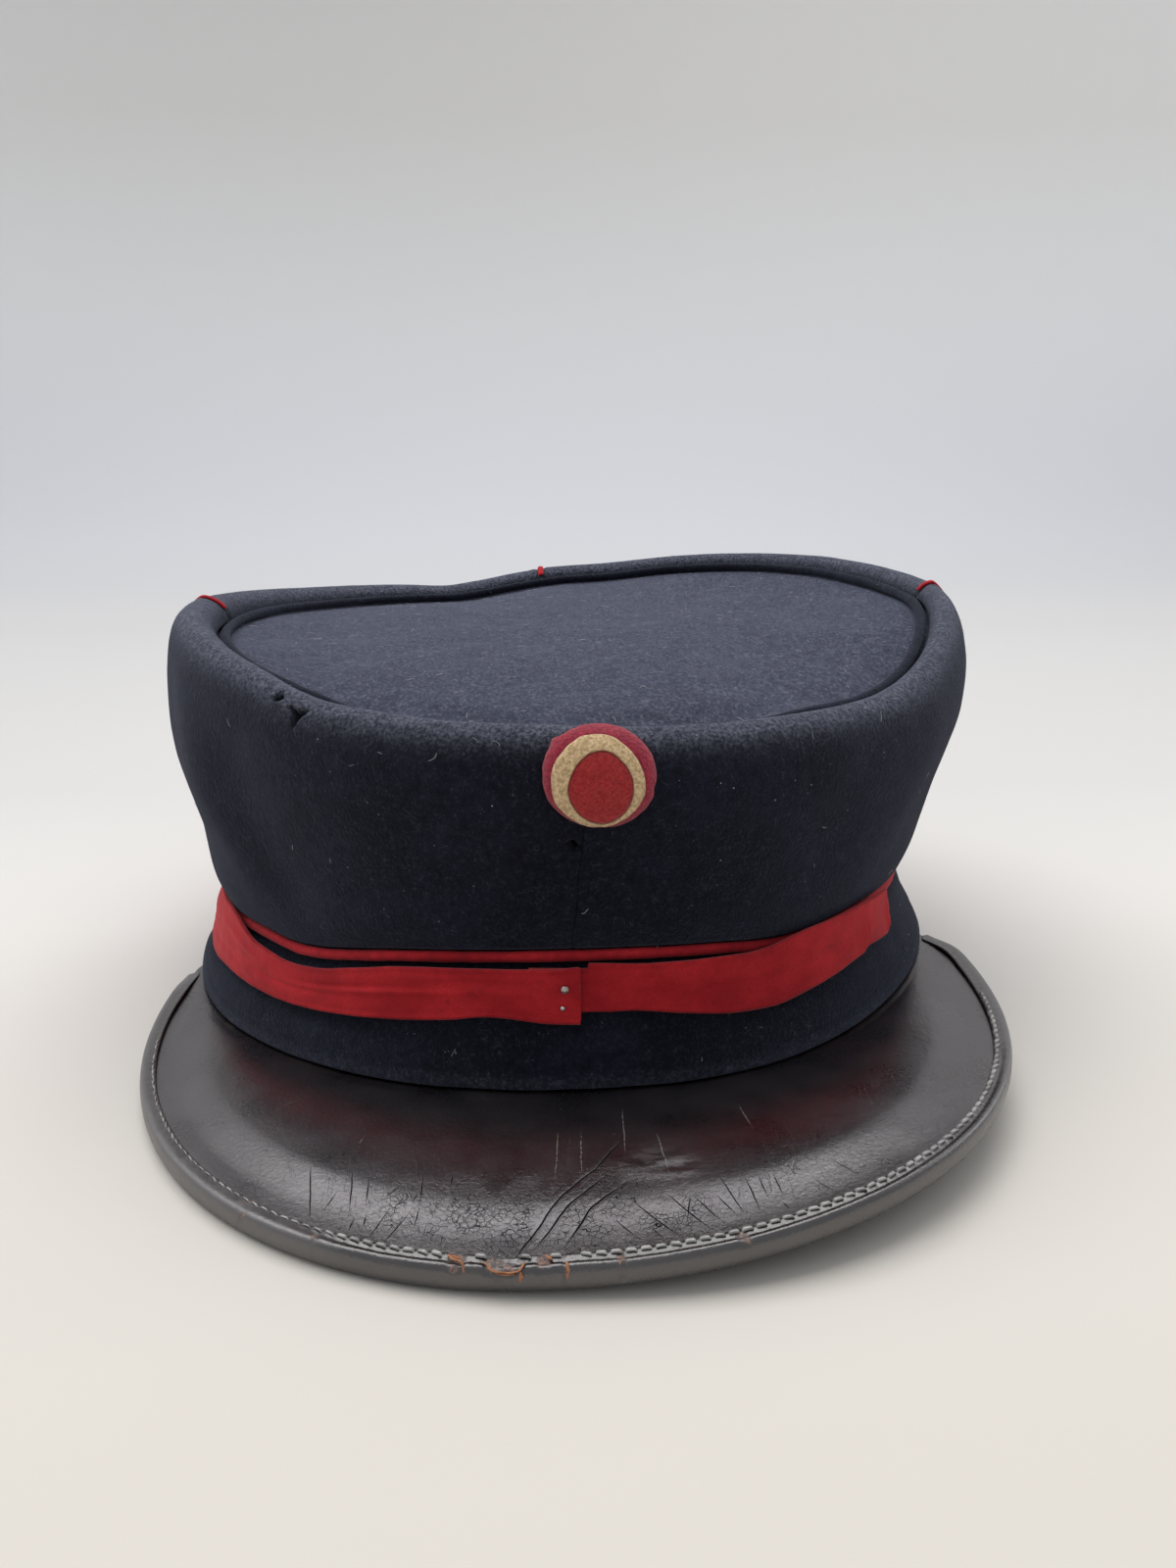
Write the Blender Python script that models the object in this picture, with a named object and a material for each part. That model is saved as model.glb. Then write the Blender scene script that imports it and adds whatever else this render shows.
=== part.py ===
"""Kepi cap: navy wool crown and band, red ribbon and pipings, black leather peak, felt cockade.

The cap stands on the back of its band and on the edge of its peak. Everything is measured in
millimetres and turned to metres when a mesh is made. Azimuth 0 is the front (-Y), 90 is +X and
180 is the back.
"""

import math

import bpy
import numpy as np

# ---------------------------------------------------------------- driving dimensions (mm)
MM = 0.001
COLUMNS = 60             # stations round the cap
AZIMUTHS = np.arange(COLUMNS) * 360.0 / COLUMNS - 180.0
GAP = 0.4                # clearance between neighbouring pieces
CLOTH = 2.0              # crown wall and top
BAND_CLOTH = 2.5         # doubled cloth of the head band
TAPE = 1.0               # ribbon
LEATHER = 2.0            # peak
WELT_RADIUS = 1.1        # covered cord inside the rim
STRIP_RADIUS = 0.8       # red strip in the waist seam
PIPING_HALF_WIDTH = 0.8  # red cords in the upright seams
PIPING_HALF_HEIGHT = 0.45

PEAK_HALF_WIDTH = 85.8
PEAK_MIDDLE_X = 0.6      # the outline is a little off the cap's middle
PEAK_WIDEST_Y = (-42.5, -47.0)    # where the peak is widest, left and right
PEAK_TIP_Y = -145.0
PEAK_REAR_LENGTH = (58.0, 44.0)   # of the ovals that lead back to the corners, left and right
PEAK_POWER = 2.23        # 2 would be an ellipse
PEAK_CORNER = 74.0       # azimuth of the corners on the band
PEAK_TUCK = 3.0          # how far the leather runs in under the band
PEAK_CROWN = 1.3         # rise of the leather's middle over a straight slope
PEAK_STATIONS = 40
EDGE_TOP = 3.2           # top of the leather at its edge over the edge's foot
BINDING_FLAP = 3.6       # width of the binding on the leather

TOP_SLOPE_BACK = 0.037   # the top's plane rises to the back ...
TOP_SLOPE_RIGHT = 0.019  # ... and to the right
TOP_LEVEL = 76.1
TOP_FREE = 0.94          # share of the top's radius that is free of the welt

COCKADE_AZIMUTH = 2.4
COCKADE_DROP = 9.6       # centre, measured down the wall from the crest
LAP_UNDER = -6.0         # azimuth where the short ribbon begins, under the long one's end
LAP_OVER = 0.4           # azimuth of the long ribbon's end, on top
SHORT_END = 53.5         # azimuth of the short ribbon's other end, at the right
LONG_END = -268.0        # azimuth of the long ribbon's other end, at the right seam
TACK_X = {"tack_upper": -2.1, "tack_lower": -2.5}
TACK_Z = {"tack_upper": 26.9, "tack_lower": 23.5}

# Crown wall, a row for each height. fraction: 0 at the waist, 1 at the crest.
#   fraction, left, right, front, back  (half-axes of the oval)
CROWN = [
    (0.00, 79.0, 78.3, 94.8, 95.8),
    (0.12, 82.2, 81.4, 95.9, 96.2),
    (0.26, 84.0, 83.8, 96.1, 96.0),
    (0.40, 86.8, 86.2, 96.3, 95.8),
    (0.54, 88.6, 88.9, 96.6, 95.8),
    (0.66, 89.0, 90.9, 96.8, 95.9),
    (0.78, 88.7, 91.5, 96.7, 95.9),
    (0.88, 87.9, 90.8, 96.0, 95.3),
    (0.96, 86.4, 89.0, 94.4, 93.8),
    (1.00, 84.0, 86.8, 92.0, 91.8),
]
# The cloth folded over the crest. step, inward (share of the fold), drop (share of the groove)
FOLD = [
    (0.00, 0.00, 0.00),
    (0.33, 0.49, 0.16),
    (0.66, 0.86, 0.50),
    (1.00, 1.00, 1.00),
]
# The rim. azimuth, crest height, groove depth below the crest, width of the fold
RIM = [
    (-180, 83.4, 5.0, 4.8), (-172, 81.6, 4.8, 4.8), (-163, 79.4, 4.5, 4.8), (-157, 78.5, 4.2, 4.8),
    (-149, 79.2, 4.6, 5.0), (-128, 80.8, 5.4, 5.5), (-107, 82.7, 6.2, 6.0), (-90, 83.6, 7.0, 6.4),
    (-72, 83.4, 7.4, 6.4), (-56, 80.4, 6.2, 6.0), (-45, 77.7, 5.0, 5.6), (-38, 75.2, 4.0, 5.2),
    (-31, 73.3, 3.2, 5.0), (-23, 72.5, 2.8, 4.9), (-15, 71.9, 2.6, 4.8), (-5, 71.7, 2.5, 4.8),
    (4, 71.3, 2.5, 4.8), (9, 71.0, 2.5, 4.8), (17, 70.8, 2.5, 4.7), (25, 71.0, 2.6, 4.6),
    (32, 71.3, 2.8, 4.5), (40, 71.9, 3.2, 4.3), (47, 73.2, 3.6, 4.1), (54, 75.6, 4.2, 4.0),
    (65, 80.4, 4.8, 3.9), (75, 84.4, 5.0, 3.9), (86, 86.6, 5.0, 3.9), (97, 87.4, 5.0, 4.0),
    (110, 88.4, 5.0, 4.1), (124, 89.2, 5.0, 4.3), (135, 89.1, 5.0, 4.5), (144, 88.5, 5.0, 4.6),
    (155, 87.2, 5.0, 4.7), (170, 84.5, 5.0, 4.8),
]
# The waist. azimuth, crown's lower edge, ribbon's upper edge, ribbon's lower edge
WAIST = [
    (-180, 27.0, 24.0, 13.5), (-150, 26.0, 23.5, 13.0), (-120, 23.6, 21.4, 11.6),
    (-90, 21.6, 20.2, 10.4), (-72, 21.7, 20.6, 10.8), (-58, 23.4, 21.9, 13.1),
    (-49, 24.8, 22.3, 14.1), (-43, 25.1, 22.2, 14.7), (-37, 26.2, 23.2, 15.6),
    (-30, 28.2, 25.7, 17.0), (-23, 30.0, 28.0, 18.5), (-16, 31.2, 29.2, 20.0),
    (-10, 31.9, 29.8, 21.4), (-3, 32.4, 30.1, 20.5), (0, 32.5, 30.5, 20.4),
    (3, 32.5, 30.6, 21.9), (7, 32.4, 30.6, 22.4), (13, 32.0, 30.3, 21.1),
    (20, 31.2, 29.9, 19.4), (26, 30.1, 29.3, 18.8), (31, 29.6, 29.0, 19.6),
    (37, 29.6, 29.1, 20.7), (44, 29.8, 29.3, 22.0), (50, 29.5, 29.0, 21.5),
    (57, 28.8, 27.9, 21.6), (72, 26.9, 24.6, 19.8), (90, 26.4, 23.8, 18.0),
    (120, 26.4, 23.7, 15.0), (150, 27.0, 24.1, 13.5),
]
# The head band's lower edge. azimuth, height
FOOT = [
    (-180, 0.0), (-104, 0.0), (-90, 1.6), (-76, 4.2), (-65, 4.5), (-57, 4.6), (-49, 4.9),
    (-40, 5.4), (-33, 6.0), (-26, 6.6), (-18, 7.3), (-12, 7.9), (-5, 8.2), (0, 8.5),
    (6, 8.5), (13, 8.2), (20, 8.1), (26, 8.0), (33, 8.2), (39, 8.5), (46, 9.0),
    (53, 9.5), (60, 9.8), (70, 9.9), (78, 9.6), (95, 5.5), (115, 1.0), (130, 0.0),
]
# Head band, a row for each height.
#   line it is measured from, share of the way from the foot to that line, offset (mm),
#   left, right, front, back
BAND = [
    ("ribbon_low", 0.00, 0.0, 85.2, 84.8, 99.5, 100.5),
    ("ribbon_low", 0.25, 0.0, 85.0, 83.8, 99.2, 100.2),
    ("ribbon_low", 0.62, 0.0, 83.6, 82.0, 98.0, 98.8),
    ("ribbon_low", 1.00, -0.5, 81.0, 80.1, 95.9, 96.4),
    ("ribbon_high", 0.75, 0.0, 78.9, 78.7, 94.6, 95.2),
    ("crown_low", 1.00, -3.0, 77.6, 77.6, 92.6, 93.8),
    ("crown_low", 1.00, -2.3, 76.5, 75.8, 91.9, 93.0),
    ("crown_low", 1.00, 4.0, 76.3, 75.6, 91.4, 92.5),
]
BAND_BULGE = (-58.0, 15.0, 1.2)  # azimuth, half-width (degrees), swell of the foot (mm)
# Ribbon edges. left, right, front, back (outer half-axes)
RIBBON_LOW = (82.8, 82.0, 98.6, 98.2)
RIBBON_HIGH = (80.6, 80.6, 98.0, 97.2)
# The peak's edge rises towards the right. x, height of its foot
EDGE_LIFT = [
    (-200.0, 0.0), (-30.0, 0.0), (0.0, 1.0), (20.0, 2.6), (40.0, 4.5), (60.0, 5.8), (80.0, 6.2), (200.0, 6.2),
]
# Dents and folds of the crown wall.
#   name, azimuth, fraction, half-width (degrees), half-height (fraction), depth (mm, + is inward)
DENTS = [
    ("hollow_left_front", -38, 0.42, 11, 0.30, 1.3),
    ("ridge_left_front", -55, 0.40, 8, 0.34, -0.9),
    ("hollow_left", -70, 0.34, 8, 0.20, 0.9),
    ("hollow_front", -16, 0.45, 12, 0.30, 0.5),
    ("hollow_right_front", 26, 0.50, 13, 0.30, 0.7),
    ("ridge_right_front", 42, 0.45, 8, 0.32, -0.4),
    ("dent_back_left", -157, 0.90, 9, 0.16, 1.6),
    ("hollow_back", 172, 0.45, 18, 0.28, 1.0),
]
# Cockade discs. half-width, half-height, centre right, centre up, hollow half-width,
#   hollow half-height, hollow right, hollow up, foot over the wall, thickness at edge and middle
COCKADE = {
    "cockade_base": (9.3, 8.7, 0.0, 0.0, 0.0, 0.0, 0.0, 0.0, 0.4, 0.9, 2.4),
    "cockade_ring": (7.45, 7.7, -0.4, -0.5, 5.45, 5.85, 0.2, -1.3, 0.0, 0.7, 0.9),
    "cockade_centre": (5.1, 5.5, 0.2, -1.3, 0.0, 0.0, 0.0, 0.0, 0.0, 0.7, 1.0),
}
# Upright seams with a red cord. azimuth
SEAMS = {"piping_left": -91.5, "piping_right": 88.0, "piping_back": -177.0}

# Colours. base colour, metallic, roughness
COLOURS = {
    "navy_wool": ((0.010, 0.014, 0.032), 0.0, 0.95),
    "red_wool": ((0.46, 0.012, 0.022), 0.0, 0.85),
    "red_tape": ((0.50, 0.010, 0.018), 0.0, 0.75),
    "black_leather": ((0.014, 0.012, 0.012), 0.0, 0.42),
    "binding_leather": ((0.012, 0.011, 0.011), 0.0, 0.36),
    "crimson_felt": ((0.36, 0.014, 0.045), 0.0, 0.95),
    "tan_felt": ((0.52, 0.38, 0.20), 0.0, 0.95),
    "steel": ((0.45, 0.42, 0.38), 1.0, 0.35),
}


# ---------------------------------------------------------------- tables to smooth curves
def hermite(keys, values, at):
    """Smooth curve through a table, without overshoot."""
    step = np.diff(keys)
    slope = np.diff(values) / step
    tangent = np.zeros_like(values)
    same = slope[:-1] * slope[1:] > 0
    w0, w1 = 2 * step[1:] + step[:-1], step[1:] + 2 * step[:-1]
    inner = np.zeros(len(values) - 2)
    inner[same] = (w0 + w1)[same] / (w0[same] / slope[:-1][same] + w1[same] / slope[1:][same])
    tangent[1:-1] = inner
    tangent[0], tangent[-1] = slope[0], slope[-1]
    i = np.clip(np.searchsorted(keys, at, side="right") - 1, 0, len(keys) - 2)
    f = (at - keys[i]) / step[i]
    return (
        (1 + 2 * f) * (1 - f) ** 2 * values[i]
        + f * (1 - f) ** 2 * step[i] * tangent[i]
        + f * f * (3 - 2 * f) * values[i + 1]
        + f * f * (f - 1) * step[i] * tangent[i + 1]
    )


def around(table, column, azimuth):
    """One column of an azimuth table at any azimuth."""
    keys = np.array([row[0] for row in table], float)
    values = np.array([row[column] for row in table], float)
    keys = np.concatenate([keys[-3:] - 360, keys, keys[:3] + 360])
    values = np.concatenate([values[-3:], values, values[:3]])
    at = (np.asarray(azimuth, float) + 180.0) % 360.0 - 180.0
    return hermite(keys, values, at)


def along(table, column, at):
    """One column of a table whose first column is a fraction."""
    keys = np.array([row[0] for row in table], float)
    values = np.array([row[column] for row in table], float)
    return hermite(keys, values, np.asarray(at, float))


def smoothstep(low, high, at):
    f = np.clip((at - low) / (high - low), 0.0, 1.0)
    return f * f * (3 - 2 * f)


def plan(azimuth, left, right, front, back):
    """Point of an oval that has a half-axis of its own on each side."""
    s, c = np.sin(np.radians(azimuth)), np.cos(np.radians(azimuth))
    return s * np.where(s < 0, left, right), -c * np.where(c > 0, front, back)


def shrink(x, y, inward):
    """Move points of a plan towards the middle."""
    k = 1.0 - inward / np.hypot(x, y)
    return x * k, y * k


# ---------------------------------------------------------------- surfaces
def crown_outer(azimuth, s):
    """Crown wall. s runs from 0 at the waist over 1 at the crest to 2 down in the groove."""
    azimuth, s = np.broadcast_arrays(np.asarray(azimuth, float), np.asarray(s, float))
    wall, fold = np.clip(s, 0, 1), np.clip(s - 1, 0, 1)
    x, y = plan(azimuth, *(along(CROWN, k, wall) for k in (1, 2, 3, 4)))
    low, crest, groove = around(WAIST, 1, azimuth), around(RIM, 1, azimuth), around(RIM, 2, azimuth)
    inward = around(RIM, 3, azimuth) * along(FOLD, 1, fold)
    for _, at, height, wide, tall, depth in DENTS:
        turn = (azimuth - at + 180.0) % 360.0 - 180.0
        inward = inward + depth * np.exp(-((turn / wide) ** 2) - ((wall - height) / tall) ** 2) * smoothstep(
            0.02, 0.16, wall
        )
    x, y = shrink(x, y, inward)
    z = low + wall * (crest - low) - groove * along(FOLD, 2, fold)
    return np.stack([x, y, z], -1)


def groove_floor(azimuth):
    """Plan and height of the groove inside the rim, at the folded edge's end."""
    end = crown_outer(azimuth, 2.0)
    return end[..., 0], end[..., 1], end[..., 2]


def band_lines(azimuth):
    return {
        "foot": around(FOOT, 1, azimuth),
        "crown_low": around(WAIST, 1, azimuth),
        "ribbon_high": around(WAIST, 2, azimuth),
        "ribbon_low": around(WAIST, 3, azimuth),
    }


def band_outer(azimuth):
    """Rows of the head band's outer face, foot first."""
    lines = band_lines(azimuth)
    rows = []
    at, wide, swell = BAND_BULGE
    for k, (line, share, offset, left, right, front, back) in enumerate(BAND):
        x, y = plan(azimuth, left, right, front, back)
        if k < 3:
            x, y = shrink(x, y, -swell * np.exp(-(((azimuth - at) / wide) ** 2)))
        if line == "ribbon_high":  # between the ribbon's edges
            z = lines["ribbon_low"] + share * (lines["ribbon_high"] - lines["ribbon_low"])
        else:
            z = lines["foot"] + share * (lines[line] - lines["foot"]) + offset
        rows.append(np.stack([x, y, z], -1))
    return rows


def top_surface(azimuth, share):
    """Upper face of the recessed top. share: 0 in the middle, 1 at its edge."""
    x, y, z = groove_floor(azimuth)
    x, y = shrink(x, y, -1.4)
    z = z - GAP
    edge_plane = TOP_LEVEL + TOP_SLOPE_BACK * y + TOP_SLOPE_RIGHT * x
    x, y = x * share, y * share
    plane = TOP_LEVEL + TOP_SLOPE_BACK * y + TOP_SLOPE_RIGHT * x
    free = np.minimum(1.0, share / TOP_FREE)  # 1 where the cloth lies under the welt and the fold
    sag = 0.5 * np.sin(x / 23.0 + 0.6) * np.cos(y / 27.0) * (1 - free**2)
    height = np.where(free < 1.0, plane + (z - edge_plane) * free**4 + sag, z)
    return np.stack([x, y, height], -1)


def peak_outline(turn):
    """Peak's outline. turn: 0 at the tip, 90 where it is widest, more towards the corners."""
    s, c = np.sin(np.radians(turn)), np.cos(np.radians(turn))
    power = 2.0 / PEAK_POWER
    x = PEAK_MIDDLE_X + PEAK_HALF_WIDTH * np.sign(s) * np.abs(s) ** power
    widest = np.where(s < 0, *PEAK_WIDEST_Y)
    reach = np.where(c > 0, widest - PEAK_TIP_Y, np.where(s < 0, *PEAK_REAR_LENGTH))
    return x, widest - reach * np.sign(c) * np.abs(c) ** power


def edge_foot(x):
    """Height of the lowest point of the peak's edge."""
    return along(EDGE_LIFT, 1, x)


def peak_frame():
    """Stations across the peak: inner and outer points of its upper face, corner to corner."""
    azimuth = np.linspace(-PEAK_CORNER, PEAK_CORNER, PEAK_STATIONS + 1)
    foot = band_outer(azimuth)[0]
    ix, iy = shrink(foot[:, 0], foot[:, 1], PEAK_TUCK)
    under = np.interp(azimuth, AZIMUTHS, band_outer(AZIMUTHS)[0][:, 2]) - 1.2 * GAP
    inner = np.stack([ix, iy, under], -1)
    corner_y = -99.5 * math.cos(math.radians(PEAK_CORNER))
    last = [
        90.0 + math.degrees(math.asin(((corner_y - widest) / length) ** (PEAK_POWER / 2.0)))
        for widest, length in zip(PEAK_WIDEST_Y, PEAK_REAR_LENGTH)
    ]
    ox, oy = peak_outline(azimuth / PEAK_CORNER * np.where(azimuth < 0, *last))
    outer = np.stack([ox, oy, edge_foot(ox) + EDGE_TOP], -1)
    return azimuth, inner, outer


def peak_top(inner, outer, distance):
    """Upper face at a distance in from the outline, along each station."""
    span = np.linalg.norm((inner - outer)[:, :2], axis=1)
    f = np.clip(distance / span, 0.0, 1.0)
    point = outer + (inner - outer) * f[:, None]
    g = np.clip(distance / (span - PEAK_TUCK - 1.0), 0.0, 1.0)  # flat from the band's face inwards
    point[:, 2] = outer[:, 2] + (inner[:, 2] - outer[:, 2]) * g
    free = smoothstep(5.0, 16.0, distance) * smoothstep(14.0, 34.0, span)
    point[:, 2] += PEAK_CROWN * 4 * g * (1 - g) * free
    return point


# ---------------------------------------------------------------- meshes
def new_piece(name, points, faces, colour):
    """One closed body, its faces pointing out."""
    points = np.asarray(points, float)
    volume = 0.0
    for face in faces:
        for k in range(1, len(face) - 1):
            a, b, c = points[face[0]], points[face[k]], points[face[k + 1]]
            volume += float(np.dot(a, np.cross(b, c)))
    if volume < 0:
        faces = [tuple(reversed(face)) for face in faces]
    mesh = bpy.data.meshes.new(name)
    mesh.from_pydata([tuple(p) for p in points * MM], [], faces)
    mesh.update()
    mesh.shade_smooth()
    mesh.set_sharp_from_angle(angle=math.radians(50))
    piece = bpy.data.objects.new(name, mesh)
    bpy.context.scene.collection.objects.link(piece)
    mesh.materials.append(material(colour))
    return piece


def material(colour):
    made = bpy.data.materials.get(colour)
    if made is None:
        base, metallic, roughness = COLOURS[colour]
        made = bpy.data.materials.new(colour)
        made.use_nodes = True
        shader = made.node_tree.nodes["Principled BSDF"]
        shader.inputs["Base Color"].default_value = (*base, 1.0)
        shader.inputs["Metallic"].default_value = metallic
        shader.inputs["Roughness"].default_value = roughness
        made.diffuse_color = (*base, 1.0)
    return made


def quads(rows, columns, closed_rows, closed_columns):
    faces = []
    for i in range(rows if closed_rows else rows - 1):
        for j in range(columns if closed_columns else columns - 1):
            a, b = i * columns + j, i * columns + (j + 1) % columns
            c, d = ((i + 1) % rows) * columns + (j + 1) % columns, ((i + 1) % rows) * columns + j
            faces.append((a, b, c, d))
    return faces


def ring_piece(name, rows, colour):
    """Closed ring: the rows go round the section, the columns go round the cap."""
    grid = np.stack(rows)
    return new_piece(name, grid.reshape(-1, 3), quads(grid.shape[0], grid.shape[1], True, True), colour)


def strip_piece(name, sections, colour):
    """Open strip: each section is a closed polygon, and the two ends are capped."""
    grid = np.stack(sections)
    count, corners = grid.shape[:2]
    faces = quads(count, corners, False, True)
    faces.append(tuple(range(corners - 1, -1, -1)))
    faces.append(tuple((count - 1) * corners + k for k in range(corners)))
    return new_piece(name, grid.reshape(-1, 3), faces, colour)


def offset_inward(profile, thickness):
    """Profile moved to its inner side, column by column, in the upright plane of each column."""
    out = np.hypot(profile[..., 0], profile[..., 1])
    line = np.stack([out, profile[..., 2]], -1)
    step = np.gradient(line, axis=0)
    step /= np.linalg.norm(step, axis=-1, keepdims=True)
    moved = line + thickness * np.stack([-step[..., 1], step[..., 0]], -1)
    k = moved[..., 0] / out
    return np.stack([profile[..., 0] * k, profile[..., 1] * k, moved[..., 1]], -1)


# ---------------------------------------------------------------- the pieces


def make_crown_side():
    steps = np.array([0, 0.1, 0.22, 0.36, 0.5, 0.62, 0.74, 0.84, 0.92, 0.97, 1.0, 1.33, 1.66, 2.0])
    outer = crown_outer(AZIMUTHS[None, :], steps[:, None])
    inner = offset_inward(outer, CLOTH)
    inner[-1] = outer[-1] * [[1, 1, 0]] * (1 + CLOTH / np.hypot(outer[-1][:, 0], outer[-1][:, 1]))[:, None]
    inner[-1][:, 2] = outer[-1][:, 2]
    keep = [13, 12, 11, 9, 6, 3, 0]
    ring_piece("crown_side", list(outer) + [inner[k] for k in keep], "navy_wool")


def make_crown_top():
    shares = [0.0, 0.35, 0.65, 0.85, 0.94, 1.0]
    upper = [top_surface(AZIMUTHS, share) for share in shares]
    lower = [row - np.array([0, 0, CLOTH]) for row in (upper[5], upper[2], upper[0])]
    points = [upper[0][0]] + [p for row in upper[1:] for p in row]
    points += [p for row in lower[:2] for p in row] + [lower[2][0]]
    faces, n = [], COLUMNS
    for j in range(n):
        k = (j + 1) % n
        faces.append((0, 1 + j, 1 + k))
        for row in range(6):
            a = 1 + row * n
            faces.append((a + j, a + n + j, a + n + k, a + k))
        faces.append((1 + 6 * n + j, 1 + 7 * n, 1 + 6 * n + k))
    new_piece("crown_top", points, faces, "navy_wool")


def make_top_welt():
    x, y, z = groove_floor(AZIMUTHS)
    away = GAP + WELT_RADIUS
    rows = []
    for turn in range(6):
        a = math.radians(60 * turn + 30)
        px, py = shrink(x, y, away - WELT_RADIUS * math.cos(a))
        rows.append(np.stack([px, py, z + WELT_RADIUS + WELT_RADIUS * math.sin(a)], -1))
    ring_piece("top_welt", rows, "navy_wool")


def make_head_band():
    outer = band_outer(AZIMUTHS)
    inner = []
    for k in (7, 6, 4, 2, 0):
        x, y = shrink(outer[k][:, 0], outer[k][:, 1], BAND_CLOTH)
        inner.append(np.stack([x, y, outer[k][:, 2]], -1))
    ring_piece("head_band", outer + inner, "navy_wool")


def make_waist_piping():
    edge = crown_outer(AZIMUTHS, 0.0)
    rows = []
    for turn in range(6):
        a = math.radians(60 * turn)
        x, y = shrink(edge[:, 0], edge[:, 1], 1.3 - STRIP_RADIUS * math.cos(a))
        z = edge[:, 2] - GAP - STRIP_RADIUS + STRIP_RADIUS * math.sin(a)
        rows.append(np.stack([x, y, z], -1))
    ring_piece("waist_piping", rows, "red_wool")


def ribbon_section(azimuth, sink, low_z, high_z):
    """Section of a ribbon: outer low, outer high, inner high, inner low."""
    corners = []
    for oval, z, inward in (
        (RIBBON_LOW, low_z, 0.0), (RIBBON_HIGH, high_z, 0.0), (RIBBON_HIGH, high_z, TAPE), (RIBBON_LOW, low_z, TAPE)
    ):
        x, y = shrink(*plan(azimuth, *oval), sink + inward)
        corners.append((float(x), float(y), float(z)))
    return np.array(corners)


def make_ribbons():
    """The long ribbon goes round the left and the back, the short one from under it to the right."""
    stations = np.concatenate([np.arange(LAP_OVER, -60.0, -3.0), np.arange(-62.0, LONG_END, -6.0), [LONG_END]])
    sections = [
        ribbon_section(a, 0.0, around(WAIST, 3, min(a, 0.0)), around(WAIST, 2, min(a, 0.0))) for a in stations
    ]
    strip_piece("ribbon_long", sections, "red_tape")
    sections = []
    for a in np.linspace(LAP_UNDER, SHORT_END, 22):
        at = max(a, 4.0)
        lapped = float(smoothstep(LAP_OVER + 9.0, LAP_OVER + 1.0, a)) if a > LAP_OVER else 1.0
        high = float(around(WAIST, 2, at)) - 0.9 * lapped * (a < LAP_OVER + 1.0)
        sections.append(ribbon_section(a, 1.4 * lapped, around(WAIST, 3, at), high))
    strip_piece("ribbon_short", sections, "red_tape")


def make_peak():
    _, inner, outer = peak_frame()
    span = np.linalg.norm((inner - outer)[:, :2], axis=1)
    edge = 1.3 * np.ones(len(span))
    shares = [0.0, 0.12, 0.3, 0.5, 0.7, 0.86, 1.0]
    upper = [peak_top(inner, outer, edge + (span - edge) * share) for share in shares]
    down = np.array([0, 0, LEATHER])
    sections = []
    for j in range(len(span)):
        top = [row[j] for row in upper]
        sections.append(np.array(top + [top[k] - down for k in (6, 4, 2, 0)]))
    strip_piece("peak", sections, "black_leather")


def make_peak_binding():
    azimuth, inner, outer = peak_frame()
    span = np.linalg.norm((inner - outer)[:, :2], axis=1)
    clear = PEAK_TUCK + 0.6
    room = span - clear
    sections = []
    for j in range(len(span)):
        flap = min(BINDING_FLAP, room[j])
        if flap < 2.0:
            continue

        def at(distance, over_top):
            p = peak_top(inner[j : j + 1], outer[j : j + 1], np.array([distance]))[0]
            return p + np.array([0, 0, over_top])

        middle = -LEATHER / 2
        half = LEATHER / 2 + GAP * 0.8
        sections.append(np.array([
            at(flap, middle - half - 0.8), at(1.5, middle - half - 0.9), at(0.5, middle - half - 0.35),
            at(0.0, middle - 0.8), at(0.0, middle + 0.8), at(0.5, middle + half + 0.45),
            at(1.5, middle + half + 0.95), at(flap, middle + half + 0.7), at(flap, middle + half),
            at(0.95, middle + half), at(0.95, middle - half), at(flap, middle - half),
        ]))
    strip_piece("peak_binding", sections, "binding_leather")


def wall_frame(azimuth, drop):
    """Point of the crown's outer face at a drop below the crest, measured along the cloth."""

    def point(a, d):
        steps = np.concatenate([np.linspace(0.0, 1.0, 61), np.linspace(1.02, 2.0, 50)])
        line = crown_outer(a, steps)
        length = np.concatenate([[0.0], np.cumsum(np.linalg.norm(np.diff(line, axis=0), axis=1))])
        at = length[60] - d
        return np.array([np.interp(at, length, line[:, k]) for k in range(3)])

    here = point(azimuth, drop)
    side = point(azimuth + 0.6, drop) - point(azimuth - 0.6, drop)
    up = point(azimuth, drop - 0.6) - point(azimuth, drop + 0.6)
    normal = np.cross(side, up)
    return here, normal / np.linalg.norm(normal)


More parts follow.
